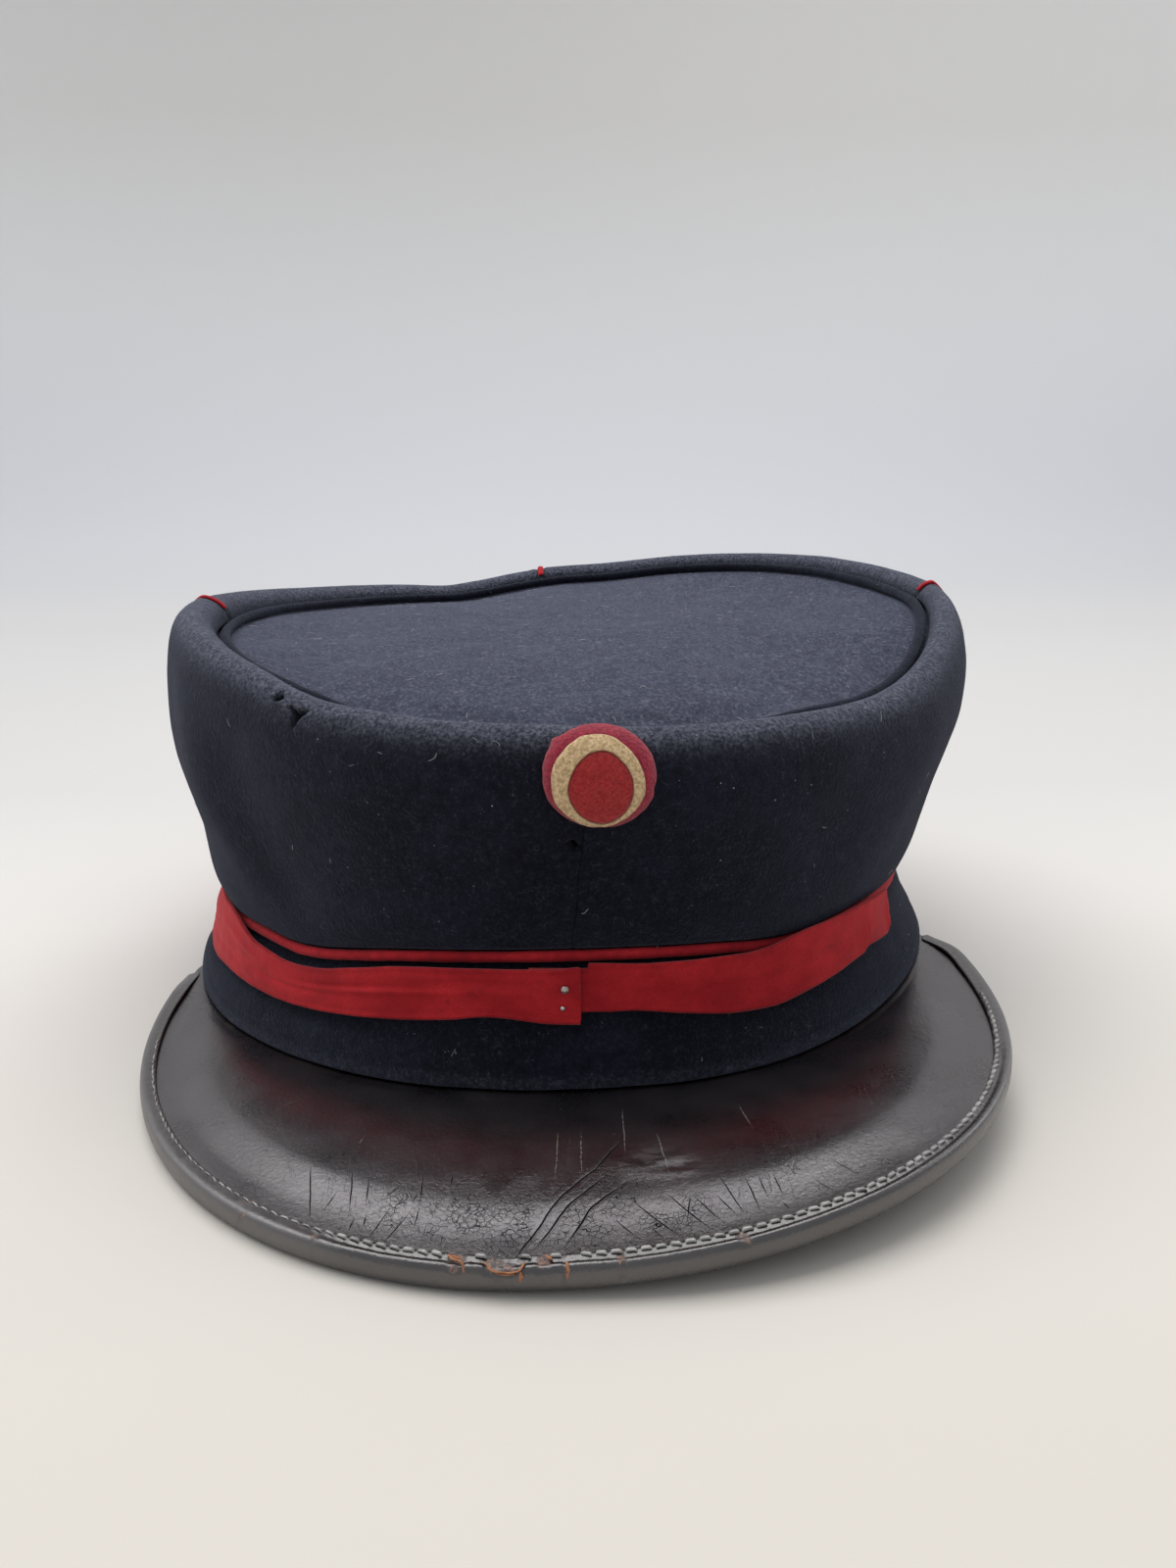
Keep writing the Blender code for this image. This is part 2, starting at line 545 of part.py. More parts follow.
def make_cockade():
    body = COCKADE["cockade_base"]

    def height(u, v):
        """Outer face of the base disc over the wall."""
        r2 = min(1.0, (u / body[0]) ** 2 + (v / body[1]) ** 2)
        return body[8] + body[9] + (body[10] - body[9]) * math.sqrt(1.0 - r2 * 0.98)

    def on_wall(u, v, over):
        azimuth = COCKADE_AZIMUTH + math.degrees(u / 88.0)
        here, normal = wall_frame(azimuth, COCKADE_DROP - v)
        return here + normal * over

    sides = 18
    for name, (hw, hh, cu, cv, iw, ih, iu, iv, lift, edge, middle) in COCKADE.items():
        hollow = iw > 0
        shares = [0.0, 0.5, 1.0] if hollow else [0.0, 0.5, 0.85, 1.0]
        upper, lower = [], []
        for share in shares:
            up_row, low_row = [], []
            for k in range(sides):
                a = 2 * math.pi * k / sides
                ou, ov = cu + hw * math.cos(a), cv + hh * math.sin(a)
                nu, nv = (iu + iw * math.cos(a), iv + ih * math.sin(a)) if hollow else (cu, cv)
                u, v = nu + (ou - nu) * share, nv + (ov - nv) * share
                if name == "cockade_base":
                    foot, head = lift, height(u, v)
                else:
                    foot = height(u, v) + GAP
                    head = foot + edge + (middle - edge) * (1 - share)
                up_row.append(on_wall(u, v, head))
                low_row.append(on_wall(u, v, foot))
            upper.append(np.array(up_row))
            lower.append(np.array(low_row))
        colour = "tan_felt" if name == "cockade_ring" else "crimson_felt"
        if hollow:
            ring_piece(name, upper + lower[::-1], colour)
            continue
        n = sides
        points = [upper[0][0]] + [p for row in upper[1:] for p in row] + [p for row in lower[:0:-1] for p in row] + [lower[0][0]]
        rows, faces = 2 * (len(shares) - 1), []
        for j in range(n):
            k = (j + 1) % n
            faces.append((0, 1 + j, 1 + k))
            for row in range(rows - 1):
                a = 1 + row * n
                faces.append((a + j, a + n + j, a + n + k, a + k))
            last = 1 + (rows - 1) * n
            faces.append((last + j, 1 + rows * n, last + k))
        new_piece(name, points, faces, colour)


def make_pipings():
    for name, azimuth in SEAMS.items():
        steps = np.concatenate([np.linspace(0.02, 0.88, 7), [0.94, 0.98, 1.0, 1.15, 1.33, 1.55]])
        line = crown_outer(azimuth, steps)
        side = crown_outer(azimuth + 0.5, steps) - crown_outer(azimuth - 0.5, steps)
        side /= np.linalg.norm(side, axis=1, keepdims=True)
        normal = np.cross(side, np.gradient(line, axis=0))
        normal /= np.linalg.norm(normal, axis=1, keepdims=True)
        centre = line + normal * (PIPING_HALF_HEIGHT + GAP * 0.75)
        sections = []
        for p, s, n in zip(centre, side, normal):
            section = [
                p + s * PIPING_HALF_WIDTH * math.cos(a) + n * PIPING_HALF_HEIGHT * math.sin(a)
                for a in (math.radians(60 * k) for k in range(6))
            ]
            sections.append(np.array(section))
        strip_piece(name, sections, "red_wool")


def make_tacks():
    profile = [(1.0, 0.0), (1.0, 0.3), (0.7, 0.65)]
    for name, x in TACK_X.items():
        z = TACK_Z[name]
        front = -RIBBON_LOW[2] * math.sqrt(1 - (x / RIBBON_LOW[0]) ** 2) - 0.35
        points = [(x, front, z)]
        for radius, out in profile:
            for k in range(10):
                a = 2 * math.pi * k / 10
                points.append((x + radius * math.cos(a), front - out, z + radius * math.sin(a)))
        points.append((x, front - 0.78, z))
        faces = []
        for j in range(10):
            k = (j + 1) % 10
            faces.append((0, 1 + j, 1 + k))
            for row in range(2):
                a = 1 + row * 10
                faces.append((a + j, a + 10 + j, a + 10 + k, a + k))
            faces.append((21 + j, 31, 21 + k))
        new_piece(name, points, faces, "steel")


def centre_footprint():
    """Put the origin in the middle of the footprint, on the surface that the cap stands on."""
    pieces = [piece for piece in bpy.data.objects if piece.type == "MESH"]
    points = np.array([v.co[:] for piece in pieces for v in piece.data.vertices])
    low, high = points.min(0), points.max(0)
    shift = np.array([-(low[0] + high[0]) / 2, -(low[1] + high[1]) / 2, -low[2]])
    for piece in pieces:
        for v in piece.data.vertices:
            v.co = [float(a + b) for a, b in zip(v.co, shift)]
        piece.data.update()


def main():
    for piece in list(bpy.data.objects):
        bpy.data.objects.remove(piece, do_unlink=True)
    make_crown_side()
    make_crown_top()
    make_top_welt()
    make_head_band()
    make_waist_piping()
    make_ribbons()
    make_peak()
    make_peak_binding()
    make_pipings()
    make_cockade()
    make_tacks()
    centre_footprint()


main()
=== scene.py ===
"""Looks of the kepi cap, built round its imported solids.

Lengths are in millimetres in the cap's own frame (azimuth 0 is the front, 90 is +X) until a mesh
is made. Every cloth, cord, felt and leather piece follows the solid that it stands for.
"""
import math

import bpy
import numpy as np
from mathutils import Matrix, Vector


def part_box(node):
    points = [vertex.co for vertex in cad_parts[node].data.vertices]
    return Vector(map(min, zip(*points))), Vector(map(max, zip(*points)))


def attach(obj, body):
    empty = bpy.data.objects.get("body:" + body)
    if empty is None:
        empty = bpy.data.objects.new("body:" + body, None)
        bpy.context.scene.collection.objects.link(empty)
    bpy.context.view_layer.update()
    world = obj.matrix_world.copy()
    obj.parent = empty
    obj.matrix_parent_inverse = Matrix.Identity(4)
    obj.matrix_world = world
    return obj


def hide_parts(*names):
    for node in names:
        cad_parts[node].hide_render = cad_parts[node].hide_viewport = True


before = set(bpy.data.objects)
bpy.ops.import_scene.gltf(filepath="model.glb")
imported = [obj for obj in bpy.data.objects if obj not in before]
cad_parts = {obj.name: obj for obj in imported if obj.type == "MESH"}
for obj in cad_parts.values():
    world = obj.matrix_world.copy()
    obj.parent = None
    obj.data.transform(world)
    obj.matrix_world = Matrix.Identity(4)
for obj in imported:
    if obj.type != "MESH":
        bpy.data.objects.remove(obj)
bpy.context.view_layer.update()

# ---------------------------------------------------------------- driving dimensions (mm)
MM = 0.001
COARSE = np.arange(60) * 6.0 - 180.0   # the solids' stations
GAP = 0.4
CLOTH = 2.0
BAND_CLOTH = 2.5
TAPE = 1.0
LEATHER = 2.0
WELT_RADIUS = 1.1
STRIP_RADIUS = 0.8
PIPING_HALF_WIDTH = 0.8
PIPING_HALF_HEIGHT = 0.45


PEAK_HALF_WIDTH = 85.8
PEAK_MIDDLE_X = 0.6      # the outline is a little off the cap's middle
PEAK_WIDEST_Y = (-42.5, -47.0)    # where the peak is widest, left and right
PEAK_TIP_Y = -145.0
PEAK_REAR_LENGTH = (58.0, 44.0)   # of the ovals that lead back to the corners, left and right
PEAK_POWER = 2.23        # 2 would be an ellipse
PEAK_CORNER = 74.0       # azimuth of the corners on the band
PEAK_TUCK = 3.0          # how far the leather runs in under the band
PEAK_CROWN = 1.3         # rise of the leather's middle over a straight slope
EDGE_TOP = 3.2           # top of the leather at its edge over the edge's foot
BINDING_FLAP = 3.6       # width of the binding on the leather

TOP_SLOPE_BACK = 0.037   # the top's plane rises to the back ...
TOP_SLOPE_RIGHT = 0.019  # ... and to the right
TOP_LEVEL = 76.1
TOP_FREE = 0.94          # share of the top's radius that is free of the welt

COCKADE_AZIMUTH = 2.4
COCKADE_DROP = 8.4       # centre, measured down the wall from the crest
LAP_UNDER = -6.0         # azimuth where the short ribbon begins, under the long one's end
LAP_OVER = 0.4           # azimuth of the long ribbon's end, on top
SHORT_END = 53.5         # azimuth of the short ribbon's other end, at the right
LONG_END = -268.0        # azimuth of the long ribbon's other end, at the right seam
TACK_X = {"tack_upper": -2.1, "tack_lower": -2.5}
TACK_Z = {"tack_upper": 26.9, "tack_lower": 23.5}

# Crown wall, a row for each height. fraction: 0 at the waist, 1 at the crest.
#   fraction, left, right, front, back  (half-axes of the oval)
CROWN = [
    (0.00, 79.0, 78.3, 94.8, 95.8),
    (0.12, 82.2, 81.4, 95.9, 96.2),
    (0.26, 84.0, 83.8, 96.1, 96.0),
    (0.40, 86.8, 86.2, 96.3, 95.8),
    (0.54, 88.6, 88.9, 96.6, 95.8),
    (0.66, 89.0, 90.9, 96.8, 95.9),
    (0.78, 88.7, 91.5, 96.7, 95.9),
    (0.88, 87.9, 90.8, 96.0, 95.3),
    (0.96, 86.4, 89.0, 94.4, 93.8),
    (1.00, 84.0, 86.8, 92.0, 91.8),
]
# The cloth folded over the crest. step, inward (share of the fold), drop (share of the groove)
FOLD = [
    (0.00, 0.00, 0.00),
    (0.33, 0.49, 0.16),
    (0.66, 0.86, 0.50),
    (1.00, 1.00, 1.00),
]
# The rim. azimuth, crest height, groove depth below the crest, width of the fold
RIM = [
    (-180, 83.4, 5.0, 4.8), (-172, 81.6, 4.8, 4.8), (-163, 79.4, 4.5, 4.8), (-157, 78.5, 4.2, 4.8),
    (-149, 79.2, 4.6, 5.0), (-128, 80.8, 5.4, 5.5), (-107, 82.7, 6.2, 6.0), (-90, 83.6, 7.0, 6.4),
    (-72, 83.4, 7.4, 6.4), (-56, 80.4, 6.2, 6.0), (-45, 77.7, 5.0, 5.6), (-38, 75.2, 4.0, 5.2),
    (-31, 73.3, 3.2, 5.0), (-23, 72.5, 2.8, 4.9), (-15, 71.9, 2.6, 4.8), (-5, 71.7, 2.5, 4.8),
    (4, 71.3, 2.5, 4.8), (9, 71.0, 2.5, 4.8), (17, 70.8, 2.5, 4.7), (25, 71.0, 2.6, 4.6),
    (32, 71.3, 2.8, 4.5), (40, 71.9, 3.2, 4.3), (47, 73.2, 3.6, 4.1), (54, 75.6, 4.2, 4.0),
    (65, 80.4, 4.8, 3.9), (75, 84.4, 5.0, 3.9), (86, 86.6, 5.0, 3.9), (97, 87.4, 5.0, 4.0),
    (110, 88.4, 5.0, 4.1), (124, 89.2, 5.0, 4.3), (135, 89.1, 5.0, 4.5), (144, 88.5, 5.0, 4.6),
    (155, 87.2, 5.0, 4.7), (170, 84.5, 5.0, 4.8),
]
# The waist. azimuth, crown's lower edge, ribbon's upper edge, ribbon's lower edge
WAIST = [
    (-180, 27.0, 24.0, 13.5), (-150, 26.0, 23.5, 13.0), (-120, 23.6, 21.4, 11.6),
    (-90, 21.6, 20.2, 10.4), (-72, 21.7, 20.6, 10.8), (-58, 23.4, 21.9, 13.1),
    (-49, 24.8, 22.3, 14.1), (-43, 25.1, 22.2, 14.7), (-37, 26.2, 23.2, 15.6),
    (-30, 28.2, 25.7, 17.0), (-23, 30.0, 28.0, 18.5), (-16, 31.2, 29.2, 20.0),
    (-10, 31.9, 29.8, 21.4), (-3, 32.4, 30.1, 20.5), (0, 32.5, 30.5, 20.4),
    (3, 32.5, 30.6, 21.9), (7, 32.4, 30.6, 22.4), (13, 32.0, 30.3, 21.1),
    (20, 31.2, 29.9, 19.4), (26, 30.1, 29.3, 18.8), (31, 29.6, 29.0, 19.6),
    (37, 29.6, 29.1, 20.7), (44, 29.8, 29.3, 22.0), (50, 29.5, 29.0, 21.5),
    (57, 28.8, 27.9, 21.6), (72, 26.9, 24.6, 19.8), (90, 26.4, 23.8, 18.0),
    (120, 26.4, 23.7, 15.0), (150, 27.0, 24.1, 13.5),
]
# The head band's lower edge. azimuth, height
FOOT = [
    (-180, 0.0), (-104, 0.0), (-90, 1.6), (-76, 4.2), (-65, 4.5), (-57, 4.6), (-49, 4.9),
    (-40, 5.4), (-33, 6.0), (-26, 6.6), (-18, 7.3), (-12, 7.9), (-5, 8.2), (0, 8.5),
    (6, 8.5), (13, 8.2), (20, 8.1), (26, 8.0), (33, 8.2), (39, 8.5), (46, 9.0),
    (53, 9.5), (60, 9.8), (70, 9.9), (78, 9.6), (95, 5.5), (115, 1.0), (130, 0.0),
]
# Head band, a row for each height.
#   line it is measured from, share of the way from the foot to that line, offset (mm),
#   left, right, front, back
BAND = [
    ("ribbon_low", 0.00, 0.0, 85.2, 84.8, 99.5, 100.5),
    ("ribbon_low", 0.25, 0.0, 85.0, 83.8, 99.2, 100.2),
    ("ribbon_low", 0.62, 0.0, 83.6, 82.0, 98.0, 98.8),
    ("ribbon_low", 1.00, -0.5, 81.0, 80.1, 95.9, 96.4),
    ("ribbon_high", 0.75, 0.0, 78.9, 78.7, 94.6, 95.2),
    ("crown_low", 1.00, -3.0, 77.6, 77.6, 92.6, 93.8),
    ("crown_low", 1.00, -2.3, 76.5, 75.8, 91.9, 93.0),
    ("crown_low", 1.00, 4.0, 76.3, 75.6, 91.4, 92.5),
]
BAND_BULGE = (-58.0, 15.0, 1.2)  # azimuth, half-width (degrees), swell of the foot (mm)
# Ribbon edges. left, right, front, back (outer half-axes)
RIBBON_LOW = (82.8, 82.0, 98.6, 98.2)
RIBBON_HIGH = (80.6, 80.6, 98.0, 97.2)
# The peak's edge rises towards the right. x, height of its foot
EDGE_LIFT = [
    (-200.0, 0.0), (-30.0, 0.0), (0.0, 1.0), (20.0, 2.6), (40.0, 4.5), (60.0, 5.8), (80.0, 6.2), (200.0, 6.2),
]
# Dents and folds of the crown wall.
#   name, azimuth, fraction, half-width (degrees), half-height (fraction), depth (mm, + is inward)
DENTS = [
    ("hollow_left_front", -38, 0.42, 11, 0.30, 1.3),
    ("ridge_left_front", -55, 0.40, 8, 0.34, -0.9),
    ("hollow_left", -70, 0.34, 8, 0.20, 0.9),
    ("hollow_front", -16, 0.45, 12, 0.30, 0.5),
    ("hollow_right_front", 26, 0.50, 13, 0.30, 0.7),
    ("ridge_right_front", 42, 0.45, 8, 0.32, -0.4),
    ("dent_back_left", -157, 0.90, 9, 0.16, 1.6),
    ("hollow_back", 172, 0.45, 18, 0.28, 1.0),
]
# Cockade discs. half-width, half-height, centre right, centre up, hollow half-width,
#   hollow half-height, hollow right, hollow up, foot over the wall, thickness at edge and middle
COCKADE = {
    "cockade_base": (9.3, 8.7, 0.0, 0.0, 0.0, 0.0, 0.0, 0.0, 0.4, 0.9, 2.4),
    "cockade_ring": (7.3, 6.75, -0.5, -0.97, 4.97, 5.37, 0.0, -1.8, 0.0, 0.7, 0.9),
    "cockade_centre": (5.04, 5.44, 0.0, -1.8, 0.0, 0.0, 0.0, 0.0, 0.0, 0.7, 1.0),
}
# Upright seams with a red cord. azimuth
SEAMS = {"piping_left": -91.5, "piping_right": 88.0, "piping_back": -177.0}


# ---------------------------------------------------------------- tables to smooth curves
def hermite(keys, values, at):
    """Smooth curve through a table, without overshoot."""
    step = np.diff(keys)
    slope = np.diff(values) / step
    tangent = np.zeros_like(values)
    same = slope[:-1] * slope[1:] > 0
    w0, w1 = 2 * step[1:] + step[:-1], step[1:] + 2 * step[:-1]
    inner = np.zeros(len(values) - 2)
    inner[same] = (w0 + w1)[same] / (w0[same] / slope[:-1][same] + w1[same] / slope[1:][same])
    tangent[1:-1] = inner
    tangent[0], tangent[-1] = slope[0], slope[-1]
    i = np.clip(np.searchsorted(keys, at, side="right") - 1, 0, len(keys) - 2)
    f = (at - keys[i]) / step[i]
    return (
        (1 + 2 * f) * (1 - f) ** 2 * values[i]
        + f * (1 - f) ** 2 * step[i] * tangent[i]
        + f * f * (3 - 2 * f) * values[i + 1]
        + f * f * (f - 1) * step[i] * tangent[i + 1]
    )


def around(table, column, azimuth):
    """One column of an azimuth table at any azimuth."""
    keys = np.array([row[0] for row in table], float)
    values = np.array([row[column] for row in table], float)
    keys = np.concatenate([keys[-3:] - 360, keys, keys[:3] + 360])
    values = np.concatenate([values[-3:], values, values[:3]])
    at = (np.asarray(azimuth, float) + 180.0) % 360.0 - 180.0
    return hermite(keys, values, at)


def along(table, column, at):
    """One column of a table whose first column is a fraction."""
    keys = np.array([row[0] for row in table], float)
    values = np.array([row[column] for row in table], float)
    return hermite(keys, values, np.asarray(at, float))


def smoothstep(low, high, at):
    f = np.clip((at - low) / (high - low), 0.0, 1.0)
    return f * f * (3 - 2 * f)


def plan(azimuth, left, right, front, back):
    """Point of an oval that has a half-axis of its own on each side."""
    s, c = np.sin(np.radians(azimuth)), np.cos(np.radians(azimuth))
    return s * np.where(s < 0, left, right), -c * np.where(c > 0, front, back)


def shrink(x, y, inward):
    """Move points of a plan towards the middle."""
    k = 1.0 - inward / np.hypot(x, y)
    return x * k, y * k


# ---------------------------------------------------------------- surfaces
def crown_outer(azimuth, s):
    """Crown wall. s runs from 0 at the waist over 1 at the crest to 2 down in the groove."""
    azimuth, s = np.broadcast_arrays(np.asarray(azimuth, float), np.asarray(s, float))
    wall, fold = np.clip(s, 0, 1), np.clip(s - 1, 0, 1)
    x, y = plan(azimuth, *(along(CROWN, k, wall) for k in (1, 2, 3, 4)))
    low, crest, groove = around(WAIST, 1, azimuth), around(RIM, 1, azimuth), around(RIM, 2, azimuth)
    inward = around(RIM, 3, azimuth) * along(FOLD, 1, fold)
    for _, at, height, wide, tall, depth in DENTS:
        turn = (azimuth - at + 180.0) % 360.0 - 180.0
        inward = inward + depth * np.exp(-((turn / wide) ** 2) - ((wall - height) / tall) ** 2) * smoothstep(
            0.02, 0.16, wall
        )
    x, y = shrink(x, y, inward)
    z = low + wall * (crest - low) - groove * along(FOLD, 2, fold)
    return np.stack([x, y, z], -1)


def groove_floor(azimuth):
    """Plan and height of the groove inside the rim, at the folded edge's end."""
    end = crown_outer(azimuth, 2.0)
    return end[..., 0], end[..., 1], end[..., 2]


def band_lines(azimuth):
    return {
        "foot": around(FOOT, 1, azimuth),
        "crown_low": around(WAIST, 1, azimuth),
        "ribbon_high": around(WAIST, 2, azimuth),
        "ribbon_low": around(WAIST, 3, azimuth),
    }


def band_outer(azimuth):
    """Rows of the head band's outer face, foot first."""
    lines = band_lines(azimuth)
    rows = []
    at, wide, swell = BAND_BULGE
    for k, (line, share, offset, left, right, front, back) in enumerate(BAND):
        x, y = plan(azimuth, left, right, front, back)
        if k < 3:
            x, y = shrink(x, y, -swell * np.exp(-(((azimuth - at) / wide) ** 2)))
        if line == "ribbon_high":  # between the ribbon's edges
            z = lines["ribbon_low"] + share * (lines["ribbon_high"] - lines["ribbon_low"])
        else:
            z = lines["foot"] + share * (lines[line] - lines["foot"]) + offset
        rows.append(np.stack([x, y, z], -1))
    return rows


def top_surface(azimuth, share):
    """Upper face of the recessed top. share: 0 in the middle, 1 at its edge."""
    x, y, z = groove_floor(azimuth)
    x, y = shrink(x, y, -1.4)
    z = z - GAP
    edge_plane = TOP_LEVEL + TOP_SLOPE_BACK * y + TOP_SLOPE_RIGHT * x
    x, y = x * share, y * share
    plane = TOP_LEVEL + TOP_SLOPE_BACK * y + TOP_SLOPE_RIGHT * x
    free = np.minimum(1.0, share / TOP_FREE)  # 1 where the cloth lies under the welt and the fold
    sag = 0.5 * np.sin(x / 23.0 + 0.6) * np.cos(y / 27.0) * (1 - free**2)
    height = np.where(free < 1.0, plane + (z - edge_plane) * free**4 + sag, z)
    return np.stack([x, y, height], -1)


def peak_outline(turn):
    """Peak's outline. turn: 0 at the tip, 90 where it is widest, more towards the corners."""
    s, c = np.sin(np.radians(turn)), np.cos(np.radians(turn))
    power = 2.0 / PEAK_POWER
    x = PEAK_MIDDLE_X + PEAK_HALF_WIDTH * np.sign(s) * np.abs(s) ** power
    widest = np.where(s < 0, *PEAK_WIDEST_Y)
    reach = np.where(c > 0, widest - PEAK_TIP_Y, np.where(s < 0, *PEAK_REAR_LENGTH))
    return x, widest - reach * np.sign(c) * np.abs(c) ** power


def edge_foot(x):
    """Height of the lowest point of the peak's edge."""
    return along(EDGE_LIFT, 1, x)


def peak_frame(azimuth):
    """Stations across the peak: inner and outer points of its upper face."""
    foot = band_outer(azimuth)[0]
    ix, iy = shrink(foot[:, 0], foot[:, 1], PEAK_TUCK)
    under = np.interp(azimuth, COARSE, band_outer(COARSE)[0][:, 2]) - 1.2 * GAP
    inner = np.stack([ix, iy, under], -1)
    corner_y = -99.5 * math.cos(math.radians(PEAK_CORNER))
    last = [
        90.0 + math.degrees(math.asin(((corner_y - widest) / length) ** (PEAK_POWER / 2.0)))
        for widest, length in zip(PEAK_WIDEST_Y, PEAK_REAR_LENGTH)
    ]
    ox, oy = peak_outline(azimuth / PEAK_CORNER * np.where(azimuth < 0, *last))
    outer = np.stack([ox, oy, edge_foot(ox) + EDGE_TOP], -1)
    return inner, outer


def peak_top(inner, outer, distance):
    """Upper face at a distance in from the outline, along each station."""
    span = np.linalg.norm((inner - outer)[:, :2], axis=1)
    f = np.clip(distance / span, 0.0, 1.0)
    point = outer + (inner - outer) * f[:, None]
    g = np.clip(distance / (span - PEAK_TUCK - 1.0), 0.0, 1.0)  # flat from the band's face inwards
    point[:, 2] = outer[:, 2] + (inner[:, 2] - outer[:, 2]) * g
    free = smoothstep(5.0, 16.0, distance) * smoothstep(14.0, 34.0, span)
    point[:, 2] += PEAK_CROWN * 4 * g * (1 - g) * free
    return point


def offset_inward(profile, thickness):
    """Profile moved to its inner side, column by column, in the upright plane of each column."""
    out = np.hypot(profile[..., 0], profile[..., 1])
    line = np.stack([out, profile[..., 2]], -1)
    step = np.gradient(line, axis=0)
    step /= np.linalg.norm(step, axis=-1, keepdims=True)
    moved = line + thickness * np.stack([-step[..., 1], step[..., 0]], -1)
    k = moved[..., 0] / out
    return np.stack([profile[..., 0] * k, profile[..., 1] * k, moved[..., 1]], -1)


# ---------------------------------------------------------------- where the cap stands
TACK_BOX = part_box("tack_upper")
SHIFT = np.array([
    (TACK_BOX[0].x + TACK_BOX[1].x) / 2 / MM - TACK_X["tack_upper"],
    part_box("head_band")[1].y / MM - BAND[0][6],
    0.0,
])

# ---------------------------------------------------------------- marks of age
# Moth holes in the crown wall: corners of each as azimuth, height
HOLES = {
    "hole_large": [(-35.5, 72.6), (-34.1, 71.6), (-32.1, 72.2), (-33.2, 71.0), (-34.1, 68.9), (-34.4, 70.8)],
    "hole_small": [(-38.3, 73.2), (-37.5, 74.1), (-36.8, 73.6), (-37.6, 72.8)],
    "nick_under_cockade": [(-1.0, 52.4), (-0.3, 52.7), (0.5, 51.5), (-0.2, 51.2)],
}
# The front seam from under the cockade to the waist. azimuth, height
FRONT_SEAM = [(0.9, 57.0), (0.7, 52.3), (0.25, 44.4), (-0.5, 34.4), (-0.6, 30.0)]
# Soft folds of the wall. azimuth, drift with height (degrees/mm), half-width (degrees), from height, to height, depth (mm, + outward)
FOLDS = [
    (-52.0, -0.30, 4.5, 26.0, 82.0, 0.75), (-43.0, -0.25, 5.0, 24.0, 74.0, -0.60), (-64.0, -0.20, 5.5, 28.0, 80.0, -0.45),
    (34.0, 0.25, 6.0, 32.0, 72.0, -0.40), (48.0, 0.20, 5.0, 34.0, 76.0, 0.45), (-12.0, 0.10, 7.0, 36.0, 66.0, -0.25),
]
# Long cracks in the peak, as the points they run through (x, y)
LONG_CRACKS = {
    "long_left": [(-11.0, -141.6), (-3.5, -129.0), (1.9, -123.0), (6.3, -115.7)],
    "long_middle": [(-7.7, -139.2), (-2.5, -131.1), (3.7, -124.6)],
    "long_right": [(-3.3, -139.2), (0.8, -132.0), (6.6, -126.6)],
}
# Short cracks. x, y, x, y
SHORT_CRACKS = [
    (6.6, -130.5, 13.8, -139.1), (4.2, -134.2, 7.6, -138.4), (9.5, -136.6, 11.0, -138.8),
    (11.9, -129.5, 18.4, -138.1), (16.0, -130.2, 14.8, -136.2), (16.0, -130.4, 20.6, -137.3),
    (20.5, -126.4, 23.5, -135.4), (19.6, -130.7, 22.3, -135.3), (24.4, -126.6, 26.0, -135.3),
    (26.6, -127.4, 27.3, -131.7), (28.9, -126.8, 29.8, -131.8), (29.3, -133.0, 30.2, -134.7),
    (35.0, -128.2, 38.0, -131.9), (38.1, -123.3, 42.6, -128.0), (-36.2, -118.8, -35.5, -128.4),
    (-33.4, -121.0, -33.1, -127.4), (-34.6, -129.5, -35.2, -132.5), (-32.9, -129.0, -33.0, -132.0),
    (-27.8, -123.3, -30.5, -126.4), (-29.4, -128.3, -32.6, -135.5), (-26.1, -129.4, -30.4, -136.5),
    (-24.8, -121.2, -24.8, -128.6), (-24.8, -128.6, -25.5, -132.9), (-25.3, -126.2, -26.2, -127.8),
    (-20.1, -121.8, -20.4, -124.9), (-43.2, -116.6, -41.4, -129.0), (-37.9, -123.5, -39.6, -127.3),
]
# Pale scratches. x, y, x, y
SCRATCHES = [
    (-3.6, -111.8, -4.4, -124.9), (0.0, -112.2, -0.2, -124.2), (7.4, -105.3, 6.8, -119.7),
    (12.4, -113.9, 13.2, -126.1), (27.0, -105.9, 28.0, -114.6), (-35.5, -109.5, -36.4, -113.4),
    (-51.9, -98.5, -48.9, -96.2), (-53.0, -99.6, -50.0, -97.8),
]
# Dark red tint of the leather near the band. x, y, radius
RED_TINT = [(-56.6, -86.8, 17.0), (-65.0, -66.0, 14.0), (62.8, -72.9, 17.0), (53.2, -86.3, 12.0), (-49.0, -98.8, 14.0), (70.0, -52.0, 12.0)]
# Where the leather is finely crackled. x, y, radius
CRACKLE = [(-10.0, -134.0, 15.0), (-19.0, -132.0, 13.0), (1.0, -136.0, 13.0), (13.0, -134.0, 11.0), (-27.0, -129.0, 9.0), (5.0, -128.0, 10.0)]
# Where fine lines run out to the edge. x, y, radius
FAN = [(-30.0, -124.0, 22.0), (30.0, -128.0, 24.0), (0.0, -126.0, 18.0), (-48.0, -112.0, 14.0), (54.0, -110.0, 16.0)]
# The raised, rubbed fold. x, y, radius
SCUFF = [(11.0, -122.6, 6.5), (15.5, -123.6, 5.0), (6.0, -123.6, 4.0)]
# Places where the binding is rubbed through or torn. x of the place, half-width, depth (mm), reach down the roll
TEARS = [
    (-19.2, 1.3, 0.50, 0.2), (-12.2, 2.7, 0.95, 0.4), (-6.4, 0.8, 0.35, 0.2), (-3.3, 0.35, 0.3, 0.8),
    (4.9, 0.8, 0.12, 0.6), (-40.0, 0.6, 0.2, 0.2), (-52.3, 1.0, 0.15, 0.4), (22.5, 1.0, 0.30, 0.2),
]
# Where stitches of the binding are missing. x from, x to
LOST_STITCHES = [(-20.6, -17.2), (-14.8, -9.4), (-7.4, -5.2), (-3.2, -1.0)]
